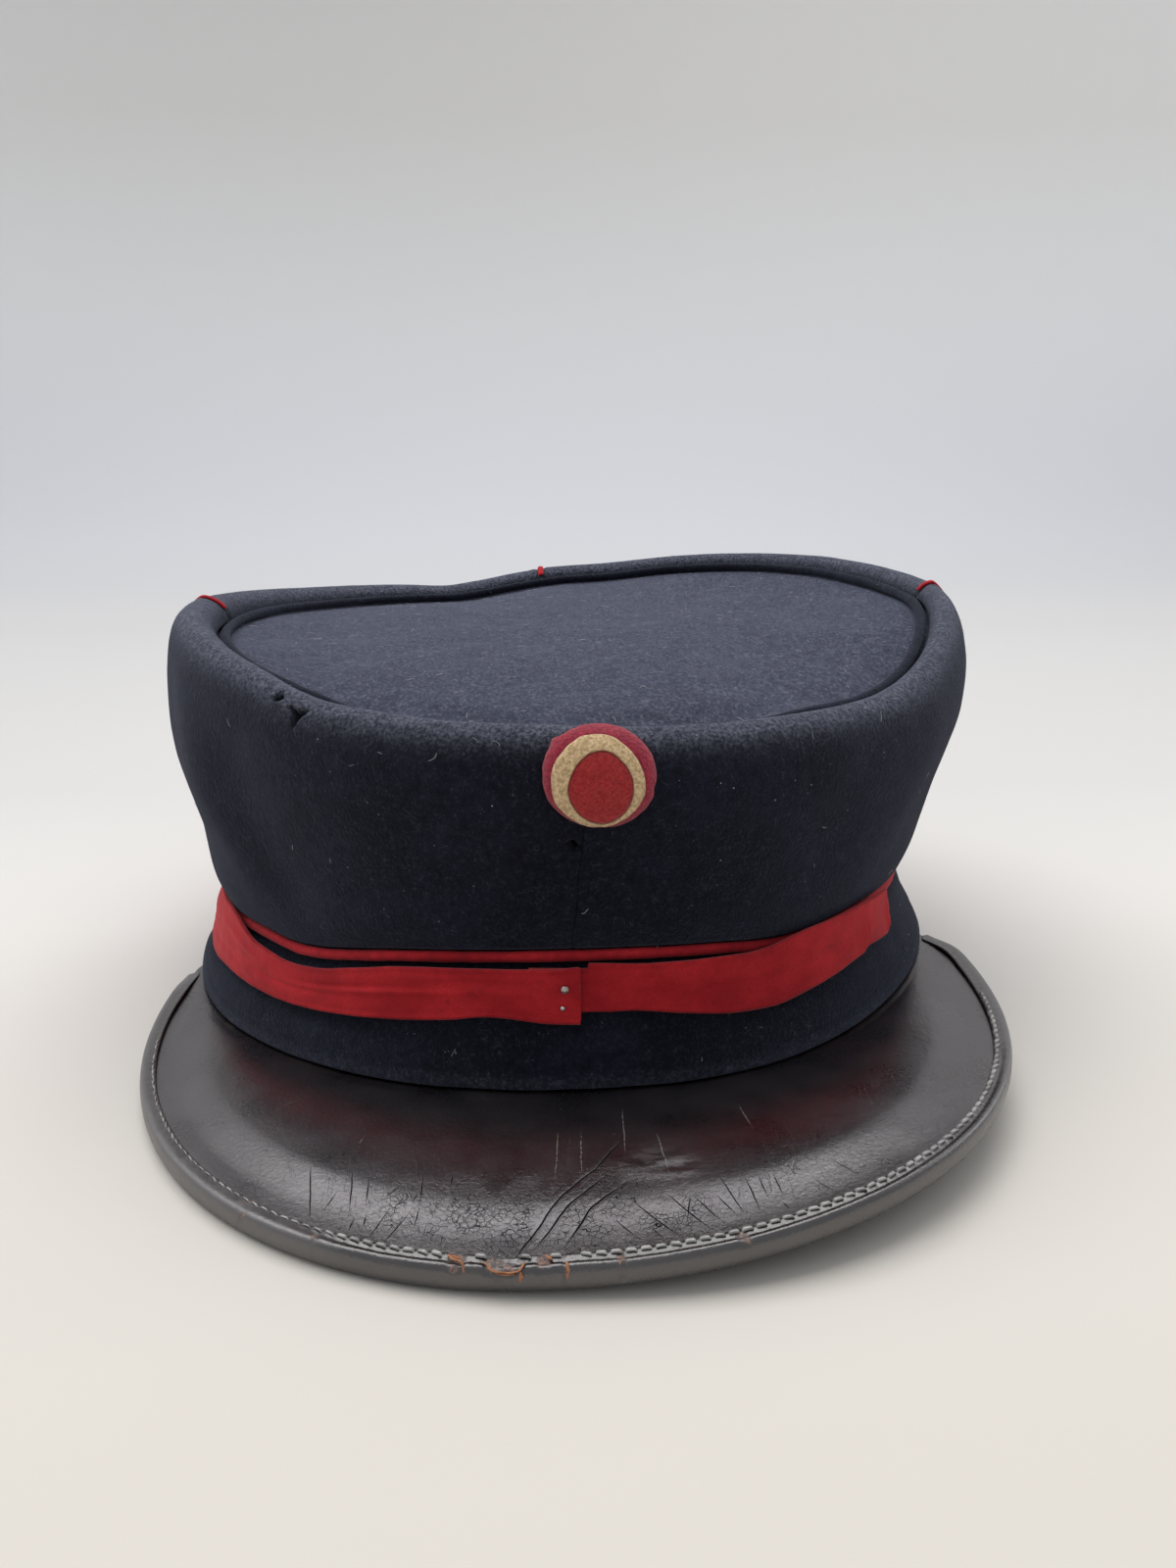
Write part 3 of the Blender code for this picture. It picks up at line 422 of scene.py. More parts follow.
# Torn shreds of the binding, as lines of: x, share of the strip inwards, height over the leather
SHREDS = [
    [(-20.4, 0.80, 1.15), (-19.6, 0.45, 1.35), (-18.8, 0.32, 1.62), (-17.9, 0.22, 1.55), (-17.5, 0.02, 0.3)],
    [(-19.8, 0.70, 1.20), (-18.9, 0.55, 1.25), (-18.2, 0.60, 1.3)],
    [(-15.1, 0.40, 1.35), (-14.4, 0.20, 1.40), (-13.7, 0.05, 0.95), (-12.6, 0.03, 0.70), (-11.2, 0.03, 0.62), (-9.8, 0.03, 0.75), (-9.3, 0.20, 1.35), (-9.2, 0.42, 1.25)],
    [(-13.9, 0.06, 0.75), (-12.0, 0.01, 0.30), (-10.2, 0.02, 0.35)],
    [(-9.6, 0.05, 0.75), (-9.5, 0.00, -0.30), (-9.6, 0.00, -0.9)],
    [(-6.3, 0.80, 1.15), (-5.6, 0.62, 1.05), (-5.2, 0.55, 1.0)],
    [(-3.2, 0.42, 1.10), (-3.1, 0.20, 1.42), (-3.0, 0.02, 0.5), (-3.1, 0.0, -0.5)],
]
# Lint that stands out. node, azimuth, height or share of the top, size
LINT = [
    ("band", -14.4, 13.9, 0.35), ("band", 23.9, 14.7, 0.3), ("wall", 11.1, 68.3, 0.2), ("wall", 15.9, 61.6, 0.3),
    ("wall", 17.5, 60.4, 0.35), ("wall", 22.5, 57.3, 0.35), ("wall", 27.0, 59.0, 0.35), ("wall", 24.9, 60.4, 0.3),
    ("wall", -21.0, 42.0, 0.2), ("wall", -24.0, 38.0, 0.2), ("top", -163.9, 0.27, 0.45),
]


# ---------------------------------------------------------------- noise
def lattice(ix, iy, iz, seed):
    h = (ix * 73856093) ^ (iy * 19349663) ^ (iz * 83492791) ^ (seed * 2654435761 + 12345)
    h = h & 0xFFFFFFFF
    h = ((h ^ (h >> 15)) * 2246822519) & 0xFFFFFFFF
    h = ((h ^ (h >> 13)) * 3266489917) & 0xFFFFFFFF
    return ((h ^ (h >> 16)) & 0xFFFF) / 32767.5 - 1.0


def noise(points, size, seed=0):
    """Smooth noise from -1 to 1 whose features have a size in mm."""
    p = np.asarray(points, float) / size
    base = np.floor(p).astype(np.int64)
    f = p - base
    f = f * f * (3 - 2 * f)
    total = 0.0
    for dx in (0, 1):
        for dy in (0, 1):
            for dz in (0, 1):
                weight = (
                    (f[..., 0] if dx else 1 - f[..., 0])
                    * (f[..., 1] if dy else 1 - f[..., 1])
                    * (f[..., 2] if dz else 1 - f[..., 2])
                )
                total = total + weight * lattice(base[..., 0] + dx, base[..., 1] + dy, base[..., 2] + dz, seed)
    return total


def rough(points, size, octaves=3, seed=0):
    """Noise with finer and weaker layers on it."""
    total, weight = 0.0, 1.0
    for k in range(octaves):
        total = total + weight * noise(points, size / 2**k, seed + 17 * k)
        weight *= 0.5
    return total / 1.75


def around_from(azimuth, at):
    """Signed angle from a place, in degrees."""
    return (np.asarray(azimuth) - at + 180.0) % 360.0 - 180.0


def stations(count, focus, low=-180.0, high=180.0, closed=True):
    """Azimuths that lie closer together at the places in focus: (azimuth, half-width, times)."""
    fine = np.linspace(low, high, 14401)
    density = np.ones_like(fine)
    for at, wide, times in focus:
        density += (times - 1.0) * np.exp(-((around_from(fine, at) / wide) ** 2))
    share = np.concatenate([[0.0], np.cumsum((density[1:] + density[:-1]) / 2)])
    places = np.linspace(0.0, 1.0, count + 1)[:-1] if closed else np.linspace(0.0, 1.0, count)
    return np.interp(places, share / share[-1], fine)


# ---------------------------------------------------------------- grids of points
def resample(grid, places):
    """Points at shares of the length of each line of a grid; places has one column per line or one for all."""
    step = np.linalg.norm(np.diff(grid, axis=0), axis=-1)
    length = np.concatenate([np.zeros((1, grid.shape[1])), np.cumsum(step, 0)])
    length /= length[-1]
    out = np.empty((len(places), grid.shape[1], 3))
    for j in range(grid.shape[1]):
        at = places[:, j] if places.ndim == 2 else places
        for c in range(3):
            out[:, j, c] = np.interp(at, length[:, j], grid[:, j, c])
    return out


def soften(grid, samples, closed):
    """Round a grid's lines off along their length."""
    reach = int(math.ceil(samples * 3))
    offsets = np.arange(-reach, reach + 1)
    kernel = np.exp(-0.5 * (offsets / samples) ** 2)
    kernel /= kernel.sum()
    if closed:
        return sum(k * np.roll(grid, -o, axis=0) for o, k in zip(offsets, kernel))
    padded = np.concatenate([
        2 * grid[:1] - grid[reach:0:-1], grid, 2 * grid[-1:] - grid[-2 : -reach - 2 : -1]
    ])
    return sum(k * padded[reach + o : reach + o + len(grid)] for o, k in zip(offsets, kernel))


def slope(grid, axis, closed):
    if closed:
        return np.roll(grid, -1, axis=axis) - np.roll(grid, 1, axis=axis)
    return np.gradient(grid, axis=axis)


def grid_normals(grid, closed_rows, closed_columns):
    n = np.cross(slope(grid, 1, closed_columns), slope(grid, 0, closed_rows))
    return n / np.maximum(np.linalg.norm(n, axis=-1, keepdims=True), 1e-12)


def quads(rows, columns, closed_rows, closed_columns):
    i = np.arange(rows if closed_rows else rows - 1)[:, None]
    j = np.arange(columns if closed_columns else columns - 1)[None, :]
    a = i * columns + j
    b = i * columns + (j + 1) % columns
    c = ((i + 1) % rows) * columns + (j + 1) % columns
    d = ((i + 1) % rows) * columns + j
    return np.stack([a, b, c, d], -1).reshape(-1, 4)


# ---------------------------------------------------------------- pieces
def new_piece(name, points, faces, finish, node=None, attributes=None, smooth=True):
    """A closed body in the cap's frame; it rides on the cap and stands for a solid if one is named."""
    points = np.asarray(points, float)
    tri = [(f[0], f[k], f[k + 1]) for f in faces if len(f) > 4 for k in range(1, len(f) - 1)]
    four = np.array([tuple(f) for f in faces if len(f) == 4], np.int64).reshape(-1, 4)
    three = np.array([tuple(f) for f in faces if len(f) == 3] + tri, np.int64).reshape(-1, 3)
    three = np.concatenate([three, four[:, :3], four[:, [0, 2, 3]]])
    a, b, c = (points[three[:, k]] for k in range(3))
    if float((a * np.cross(b, c)).sum()) < 0:
        faces = [tuple(reversed(f)) for f in faces]
    mesh = bpy.data.meshes.new(name)
    mesh.from_pydata(((points + SHIFT) * MM).tolist(), [], [tuple(int(v) for v in f) for f in faces])
    mesh.update()
    if smooth:
        mesh.shade_smooth()
    for key, values in (attributes or {}).items():
        layer = mesh.attributes.new(key, "FLOAT", "POINT")
        layer.data.foreach_set("value", np.asarray(values, np.float32).reshape(-1))
    piece = bpy.data.objects.new(name, mesh)
    bpy.context.scene.collection.objects.link(piece)
    mesh.materials.append(finish)
    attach(piece, "root")
    if node:
        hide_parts(node)
    return piece


def grid_piece(name, grid, closed_rows, closed_columns, finish, node=None, attributes=None):
    rows, columns = grid.shape[:2]
    faces = [tuple(f) for f in quads(rows, columns, closed_rows, closed_columns)]
    if not closed_columns:  # a closed section, drawn along an open line: cap both ends
        faces.append(tuple(i * columns for i in range(rows)))
        faces.append(tuple(i * columns + columns - 1 for i in reversed(range(rows))))
    return new_piece(name, grid.reshape(-1, 3), faces, finish, node, attributes)


def hole_mask(azimuth, height, radius, points):
    """1 inside the moth holes, with ragged edges, and 0 away from them."""
    inside_all = np.zeros(np.shape(azimuth))
    ragged = 0.32 * noise(points, 0.9, 5) + 0.14 * noise(points, 0.35, 6)
    for corners in HOLES.values():
        middle = np.mean([c[0] for c in corners])
        poly = [(math.radians(a - middle) * 91.0, z) for a, z in corners]
        u = np.radians(around_from(azimuth, middle)) * radius
        near = (np.abs(u) < 6) & (np.abs(height - corners[0][1]) < 8)
        if not near.any():
            continue
        pu, pv = u[near], height[near]
        distance, inside = np.full(pu.shape, 1e9), np.zeros(pu.shape, bool)
        for (x1, y1), (x2, y2) in zip(poly, poly[1:] + poly[:1]):
            t = np.clip(((pu - x1) * (x2 - x1) + (pv - y1) * (y2 - y1)) / ((x2 - x1) ** 2 + (y2 - y1) ** 2), 0, 1)
            distance = np.minimum(distance, np.hypot(pu - x1 - t * (x2 - x1), pv - y1 - t * (y2 - y1)))
            if y1 != y2:
                crosses = (pv < y1) != (pv < y2)
                inside ^= crosses & (pu < x1 + (pv - y1) / (y2 - y1) * (x2 - x1))
        signed = np.where(inside, -distance, distance) + ragged[near] * 0.6
        inside_all[near] = np.maximum(inside_all[near], 1 - smoothstep(-0.12, 0.22, signed))
    return inside_all


def front_dip(azimuth):
    """How much lower the groove lies at the front, where the rim hides it (mm)."""
    return 1.35 * (1 - smoothstep(22.0, 36.0, np.abs(around_from(azimuth, -2.0))))


def make_crown_wall():
    """The crown's wall: cut from the waist up, over the soft rim and down into the groove."""
    azimuth = stations(520, [
        (0.2, 1.8, 4.0), (-91.5, 2.2, 2.5), (88.0, 2.2, 2.5), (-177.0, 2.2, 2.5), (-35.0, 4.5, 3.2),
    ])
    s = np.concatenate([np.linspace(0, 0.9, 60), np.linspace(0.915, 1.0, 12), np.linspace(1.03, 2.0, 34)])
    outer = crown_outer(azimuth[None, :], s[:, None])
    outer[..., 2] -= front_dip(azimuth)[None, :] * smoothstep(1.2, 1.8, s)[:, None]
    steps = np.array([0, 0.1, 0.22, 0.36, 0.5, 0.62, 0.74, 0.84, 0.92, 0.97, 1.0, 1.33, 1.66, 2.0])
    coarse = crown_outer(azimuth[None, :], steps[:, None])
    coarse[..., 2] -= front_dip(azimuth)[None, :] * smoothstep(1.2, 1.8, steps)[:, None]
    inner = offset_inward(coarse, CLOTH)
    inner[-1] = coarse[-1] * [[1, 1, 0]] * (1 + CLOTH / np.hypot(coarse[-1][:, 0], coarse[-1][:, 1]))[:, None]
    inner[-1][:, 2] = coarse[-1][:, 2]
    loop = np.concatenate([outer, inner[[13, 12, 11, 9, 6, 3, 0]], outer[:1]])
    step = np.linalg.norm(np.diff(loop, axis=0), axis=-1)
    out_share = step[: len(outer) - 1].sum(0) / step.sum(0)
    fine = soften(resample(loop, np.linspace(0, 1, 301))[:-1], 2.0, True)
    fine = np.concatenate([fine, fine[:1]])
    rows_out, rows_in = 142, 28
    t_out, t_in = np.linspace(0, 1, rows_out + 1)[:-1, None], np.linspace(0, 1, rows_in + 1)[:-1, None]
    grid = resample(fine, np.concatenate([t_out * out_share, out_share + t_in * (1 - out_share)]))
    normals = grid_normals(grid, True, True)
    if (normals[40] * grid[40] * [1, 1, 0]).sum() < 0:
        normals = -normals
    face = slice(0, rows_out)
    p, n = grid[face], normals[face]
    height, radius = p[..., 2], np.hypot(p[..., 0], p[..., 1])
    az = np.broadcast_to(azimuth, height.shape)
    lift = 0.26 * rough(p, 24.0, 2, 1) + 0.08 * rough(p, 7.0, 2, 2) + 0.020 * rough(p, 1.6, 2, 3)
    for at, drift, wide, low, high, deep in FOLDS:
        centre = at + drift * (height - 50.0)
        u = around_from(az, centre) / wide
        lift += deep * np.exp(-(u**2)) * smoothstep(low, low + 14.0, height) * (1 - smoothstep(high - 14.0, high, height))
    seam_shade, wear_and_highlight = np.zeros(height.shape), np.zeros(height.shape)
    # Painted shade: a dark line beside each piping cord, and along the front seam's groove.
    for at in SEAMS.values():
        u = np.radians(around_from(az, at)) * radius
        lift += -0.42 * np.exp(-((u / 1.25) ** 2)) + 0.16 * np.exp(-(((np.abs(u) - 2.4) / 1.0) ** 2))
        seam_shade += 0.5 * np.exp(-(((np.abs(u) - 1.0) / 0.4) ** 2))
    zs = np.array([z for _, z in FRONT_SEAM])[::-1]
    line = np.interp(height, zs, np.array([a for a, _ in FRONT_SEAM])[::-1])
    u = np.radians(around_from(az, line)) * radius + 0.22 * noise(p, 3.0, 9)
    here = (np.abs(around_from(az, 0.0)) < 6) * (1 - smoothstep(58.0, 61.0, height))
    lift += here * (-0.40 * np.exp(-((u / 0.42) ** 2)) + 0.10 * np.exp(-((u / 1.6) ** 2)))
    seam_shade += here * 0.6 * np.exp(-((u / 0.32) ** 2))
    hole = hole_mask(az, height, radius, p)
    lift += -1.7 * hole
    near_low = np.clip((height - around(WAIST, 1, az)) / 3.0, 0, 1)
    lift *= 0.35 + 0.65 * near_low
    grid[face] = p + n * lift[..., None]
    # Lighter on the rim, where the wall faces up: rubbed wear, and a painted highlight of the light from above.
    crest = np.exp(-(((height - around(RIM, 1, az)) / 3.6) ** 2))
    wear_and_highlight += 1.20 * crest * smoothstep(0.25, 0.9, n[..., 2] * 0.5 + 0.5)
    attributes = {
        key: np.concatenate([values.reshape(-1), np.full(rows_in * len(azimuth), rest)])
        for key, values, rest in (("hole", hole, 0.0), ("seam_shade", seam_shade, 0.0), ("wear_and_highlight", wear_and_highlight, 0.0))
    }
    piece = grid_piece("crown_wall_cloth", grid, True, True, WOOL, "crown_side", attributes)
    return piece, grid[face], azimuth


def make_crown_top():
    """The recessed top: a flat oval of cloth with shallow waves and a pressed edge."""
    azimuth = stations(480, [])
    shares = np.concatenate([np.linspace(0.02, 0.9, 74), np.linspace(0.91, 1.0, 14)])
    upper = top_surface(azimuth[None, :], shares[:, None])
    dip = front_dip(azimuth)[None, :]
    upper[..., 2] -= dip * smoothstep(0.80, 0.96, shares)[:, None]
    flat = 1 - smoothstep(0.86, 0.97, shares)[:, None]
    lift = (0.50 * rough(upper, 34.0, 2, 21) + 0.16 * rough(upper, 9.0, 3, 22)) * flat + 0.035 * rough(upper, 1.7, 2, 23)
    upper[..., 2] += lift * (0.25 + 0.75 * flat)
    lower_shares = np.array([1.0, 0.85, 0.65, 0.4, 0.2, 0.02])
    lower = top_surface(azimuth[None, :], lower_shares[:, None]) - np.array([0, 0, CLOTH])
    lower[..., 2] -= dip * smoothstep(0.80, 0.96, lower_shares)[:, None]
    grid = np.concatenate([upper, lower])
    rows, n = grid.shape[:2]
    faces = [tuple(f) for f in quads(rows, n, False, True)]
    points = np.concatenate([grid.reshape(-1, 3), upper[0].mean(0)[None], lower[-1].mean(0)[None]])
    for j in range(n):
        k = (j + 1) % n
        faces.append((rows * n, k, j))
        faces.append((rows * n + 1, (rows - 1) * n + j, (rows - 1) * n + k))
    # The whole top gets a share of pale rubbed nap: wear, and a painted highlight, as the top faces the light above.
    wear_and_highlight = np.full(len(points), 0.25)
    piece = new_piece("crown_top_cloth", points, faces, WOOL_TOP, "crown_top", {
        "hole": np.zeros(len(points)), "seam_shade": np.zeros(len(points)), "wear_and_highlight": wear_and_highlight,
    })
    return piece, upper, azimuth


def tube(line, normal, side, half_side, half_normal, sides=14, twist=0.0, wobble=None):
    """Points of a cord along a line: rows round the section, columns along the line."""
    rows = []
    for k in range(sides):
        a = 2 * math.pi * k / sides + twist
        w = 1.0 if wobble is None else wobble[:, None]
        rows.append(line + (side * half_side * math.cos(a) + normal * half_normal * math.sin(a)) * w)
    return np.stack(rows)


def zeros(count):
    return {"hole": np.zeros(count), "seam_shade": np.zeros(count), "wear_and_highlight": np.zeros(count)}


def make_top_welt():
    azimuth = stations(560, [])
    x, y, z = groove_floor(azimuth)
    px, py = shrink(x, y, GAP + WELT_RADIUS)
    line = np.stack([px, py, z + WELT_RADIUS - 0.1 - front_dip(azimuth)], -1)
    side = np.stack([px, py, np.zeros_like(px)], -1)
    side /= np.linalg.norm(side, axis=1, keepdims=True)
    wobble = 1 + 0.07 * noise(line, 3.0, 31) + 0.05 * noise(line, 9.0, 32)
    grid = tube(line, np.array([0.0, 0.0, 1.0]), side, WELT_RADIUS, WELT_RADIUS, 14, 0.0, wobble)
    grid_piece("top_welt_cord", grid, True, True, WOOL, "top_welt", zeros(grid.shape[0] * grid.shape[1]))


def make_head_band():
    """The head band: doubled cloth, its hem rounded, that flares over the peak."""
    azimuth = stations(520, [])
    outer = np.stack(band_outer(azimuth))
    inner = []
    for k in (7, 6, 4, 2, 0):
        x, y = shrink(outer[k][:, 0], outer[k][:, 1], BAND_CLOTH)
        inner.append(np.stack([x, y, outer[k][:, 2]], -1))
    curve = resample(outer, np.linspace(0, 1, 90))
    curve = soften(curve, 4.0, False)
    loop = np.concatenate([curve, np.stack(inner), curve[:1]])
    step = np.linalg.norm(np.diff(loop, axis=0), axis=-1)
    out_share = step[:89].sum(0) / step.sum(0)
    fine = soften(resample(loop, np.linspace(0, 1, 181))[:-1], 1.1, True)
    fine = np.concatenate([fine, fine[:1]])
    rows_out, rows_in = 84, 24
    t_out, t_in = np.linspace(0, 1, rows_out + 1)[:-1, None], np.linspace(0, 1, rows_in + 1)[:-1, None]
    grid = resample(fine, np.concatenate([t_out * out_share, out_share + t_in * (1 - out_share)]))
    normals = grid_normals(grid, True, True)
    if (normals[30] * grid[30] * [1, 1, 0]).sum() < 0:
        normals = -normals
    p, n = grid[:rows_out], normals[:rows_out]
    az = np.broadcast_to(azimuth, p.shape[:2])
    lift = 0.16 * rough(p, 18.0, 3, 41) + 0.10 * rough(p, 5.0, 3, 42) + 0.03 * rough(p, 1.6, 2, 43)
    above = smoothstep(1.0, 3.5, p[..., 2] - around(FOOT, 1, az))
    lift *= 0.15 + 0.85 * above
    lift *= 1 - smoothstep(-1.0, 1.5, p[..., 2] - around(WAIST, 3, az)) * 0.8
    hem = np.exp(-(((p[..., 2] - around(FOOT, 1, az) - 3.4) / 0.5) ** 2))
    lift -= 0.12 * hem
    grid[:rows_out] = p + n * lift[..., None]
    count = grid.shape[0] * grid.shape[1]
    wear_and_highlight = np.zeros(grid.shape[:2])
    wear_and_highlight[:rows_out] = 0.25 * (1 - above)
    grid_piece("head_band_cloth", grid, True, True, WOOL, "head_band", {
        "hole": np.zeros(count), "seam_shade": np.zeros(count), "wear_and_highlight": wear_and_highlight,
    })
    return grid[:rows_out], azimuth


def make_waist_cord():
    azimuth = stations(560, [])
    edge = crown_outer(azimuth, 0.0)
    x, y = shrink(edge[:, 0], edge[:, 1], 1.0)
    line = np.stack([x, y, edge[:, 2] - GAP - STRIP_RADIUS - 0.15], -1)
    side = np.stack([x, y, np.zeros_like(x)], -1)
    side /= np.linalg.norm(side, axis=1, keepdims=True)
    wobble = 1 + 0.06 * noise(line, 2.5, 51) + 0.05 * noise(line, 8.0, 52)
    grid = tube(line, np.array([0.0, 0.0, 1.0]), side, STRIP_RADIUS, STRIP_RADIUS + 0.25, 12, 0.0, wobble)
    grid_piece("waist_cord", grid, True, True, RED_WOOL, "waist_piping", {"across": np.zeros(grid.shape[0] * grid.shape[1])})


def ribbon_grid(azimuth, sink, low_z, high_z, seed, crease, lean=0.0):
    """A ribbon's closed section (rows) along its stations (columns)."""
    lx, ly = plan(azimuth, *RIBBON_LOW)
    hx, hy = plan(azimuth, *RIBBON_HIGH)
    across = np.linspace(0, 1, 22)
    rows = []
    for f in across:
        x, y = shrink(lx + (hx - lx) * f, ly + (hy - ly) * f, sink + lean * f**1.5)
        rows.append(np.stack([x, y, low_z + (high_z - low_z) * f], -1))
    face = np.stack(rows)
    az = np.broadcast_to(azimuth, face.shape[:2])
    f = np.broadcast_to(across[:, None], face.shape[:2])
    out = np.stack([face[..., 0], face[..., 1], np.zeros(face.shape[:2])], -1)
    out /= np.linalg.norm(out, axis=-1, keepdims=True)
    wide = np.concatenate([face[..., :2], face[..., 2:] * 3.0], -1)
    lift = 0.16 * rough(wide, 14.0, 2, seed) + 0.09 * noise(wide, 4.0, seed + 1) + 0.02 * rough(face, 1.2, 2, seed + 2)
    for at, wide_az, share, tall, depth in crease:
        lift += depth * np.exp(-((around_from(az, at) / wide_az) ** 2) - ((f - share) / tall) ** 2)
    edge = np.minimum(f, 1 - f)
    lift += 0.10 * np.exp(-((edge / 0.05) ** 2)) - 0.05 * np.exp(-(((edge - 0.10) / 0.04) ** 2))
    face = face + out * lift[..., None]
    back = face[::-4] - out[::-4] * (TAPE * 0.72)
    grid = np.concatenate([face, back])
    share = np.concatenate([across, across[::-4]])
    return grid, np.repeat(share[:, None], grid.shape[1], 1)


def make_ribbons():
    creases_long = [
        (-28.0, 13.0, 0.62, 0.05, -0.42), (-24.0, 12.0, 0.53, 0.05, 0.32), (-44.0, 10.0, 0.42, 0.06, -0.28),
        (-16.0, 8.0, 0.72, 0.05, -0.25), (-58.0, 9.0, 0.70, 0.06, 0.30), (-64.0, 8.0, 0.30, 0.07, -0.25),
        (-9.0, 2.0, 0.5, 0.5, 0.30), (-80.0, 7.0, 0.5, 0.1, 0.25),
    ]
    azimuth = stations(720, [(0.0, 3.0, 2.0)], LONG_END, LAP_OVER, False)[::-1]
    at = np.minimum(azimuth, 0.0)
    pulled_up = smoothstep(50.0, 62.0, -azimuth) * (1 - smoothstep(95.0, 115.0, -azimuth))
    high = around(WAIST, 2, at) + 2.2 * pulled_up
    grid, share = ribbon_grid(azimuth, 0.0, around(WAIST, 3, at), high, 61, creases_long, 0.95 * pulled_up)
    ragged = 0.18 * noise(grid[:, 0], 0.8, 65)
    grid[:, 0, 0] += ragged
    long_piece = grid_piece("ribbon_long_tape", grid, True, False, RED_TAPE, "ribbon_long", {"across": share})
    creases_short = [
        (11.0, 6.0, 0.35, 0.2, -0.25), (22.0, 9.0, 0.6, 0.08, 0.2), (36.0, 8.0, 0.45, 0.12, -0.22),
        (46.0, 3.0, 0.3, 0.5, 0.3), (50.0, 2.0, 0.6, 0.4, -0.25),
    ]
    azimuth = stations(260, [(1.0, 3.0, 2.5), (44.0, 3.0, 2.5)], LAP_UNDER, SHORT_END - 1.9, False)
    at = np.maximum(azimuth, 4.0)
    lapped = np.where(azimuth > LAP_OVER, 1 - smoothstep(LAP_OVER + 1.0, LAP_OVER + 9.0, azimuth), 1.0)
    high = around(WAIST, 2, at) - 0.9 * lapped * (azimuth < LAP_OVER + 1.0) + 2.3 * smoothstep(22.0, 33.0, azimuth)
    low = around(WAIST, 3, at) + 1.1 * smoothstep(43.0, 44.6, azimuth) + 2.0 * smoothstep(50.2, 51.8, azimuth)
    grid, share = ribbon_grid(azimuth, 1.4 * lapped - 0.35 * smoothstep(22.0, 33.0, azimuth), low, high, 71, creases_short)
    grid[:, -1, 0] += 0.3 * noise(grid[:, -1], 0.8, 75)
    grid[:, -1, 1] += 0.3 * noise(grid[:, -1], 0.8, 75)
    short_piece = grid_piece("ribbon_short_tape", grid, True, False, RED_TAPE, "ribbon_short", {"across": share})
    return long_piece, short_piece


def make_pipings():
    for name, azimuth in SEAMS.items():
        steps = np.concatenate([np.linspace(0.02, 0.9, 90), np.linspace(0.905, 1.0, 24), np.linspace(1.02, 1.6, 30)])
        line = crown_outer(azimuth, steps)
        line = soften(line[:, None, :], 3.0, False)[:, 0]
        side = crown_outer(azimuth + 0.5, steps) - crown_outer(azimuth - 0.5, steps)
        side /= np.linalg.norm(side, axis=1, keepdims=True)
        normal = np.cross(side, np.gradient(line, axis=0))
        normal /= np.linalg.norm(normal, axis=1, keepdims=True)
        line = line + normal * 0.12 + side * (0.12 * noise(line, 7.0, 81))[:, None]
        wobble = 1 + 0.10 * noise(line, 1.8, 82)
        wobble[[0, -1]] = 0.5
        grid = tube(line, normal, side, PIPING_HALF_WIDTH, PIPING_HALF_HEIGHT, 12, 0.0, wobble)
        grid_piece(name + "_cord", grid, True, False, RED_WOOL, name, {"across": np.zeros(grid.shape[0] * grid.shape[1])})


def segment_distance(px, py, x1, y1, x2, y2):
    t = np.clip(((px - x1) * (x2 - x1) + (py - y1) * (y2 - y1)) / ((x2 - x1) ** 2 + (y2 - y1) ** 2), 0, 1)
    return np.hypot(px - x1 - t * (x2 - x1), py - y1 - t * (y2 - y1)), t


def round_spots(x, y, rows):
    """A soft field, 1 at the middle of each spot. rows: x, y, radius."""
    total = np.zeros(np.shape(x))
    for cx, cy, radius in rows:
        total = np.maximum(total, 1 - smoothstep(0.0, radius, np.hypot(x - cx, y - cy)))
    return total


def long_marks():
    """Straight parts of the long cracks: x, y, x, y, half-width, tapered at its start, tapered at its end."""
    return [
        (*a, *b, 0.18, k == 0, k == len(points) - 2)
        for points in LONG_CRACKS.values() for k, (a, b) in enumerate(zip(points, points[1:]))
    ]


def short_marks():
    return [(*row, 0.125, True, True) for row in SHORT_CRACKS]


def pale_marks():
    return [(*row, 0.12, True, True) for row in SCRATCHES]


def marks_apart(marks, room):
    """Sort marks into groups, so that different marks of a group never come near each other."""
    t = np.linspace(0, 1, 24)[:, None]
    lines = [np.array(m[:2]) * (1 - t) + np.array(m[2:4]) * t for m in marks]
    groups = []
    for mark, line in zip(marks, lines):
        for group in groups:
            if all(
                mark[:2] == other[2:4] or np.linalg.norm(line[:, None] - path[None], axis=-1).min() > room
                for other, path in group
            ):
                group.append((mark, line))
                break
        else:
            groups.append([(mark, line)])
    return [[mark for mark, _ in group] for group in groups]


def mark_fields(x, y, marks):
    """Distance to the nearest mark's line, negative on one side, and the mark's half-width there (mm)."""
    nearest = np.full(np.shape(x), np.inf)
    side, half = np.full(np.shape(x), 9.0), np.zeros(np.shape(x))
    for x1, y1, x2, y2, wide, taper_start, taper_end in marks:
        length = math.hypot(x2 - x1, y2 - y1)
        ux, uy = (x2 - x1) / length, (y2 - y1) / length
        along = (x - x1) * ux + (y - y1) * uy
        across = (y - y1) * ux - (x - x1) * uy
        inside = np.clip(along, 0, length)
        distance = np.hypot(across, along - inside)
        run = min(3.5, length * 0.45)
        start = np.clip(along / run, 0, 1) if taper_start else np.ones(np.shape(x))
        end = np.clip((length - along) / run, 0, 1) if taper_end else np.ones(np.shape(x))
        here = distance < nearest
        nearest = np.where(here, distance, nearest)
        side = np.where(here, across, side)
        half = np.where(here, wide * start * end, half)
    return side, half


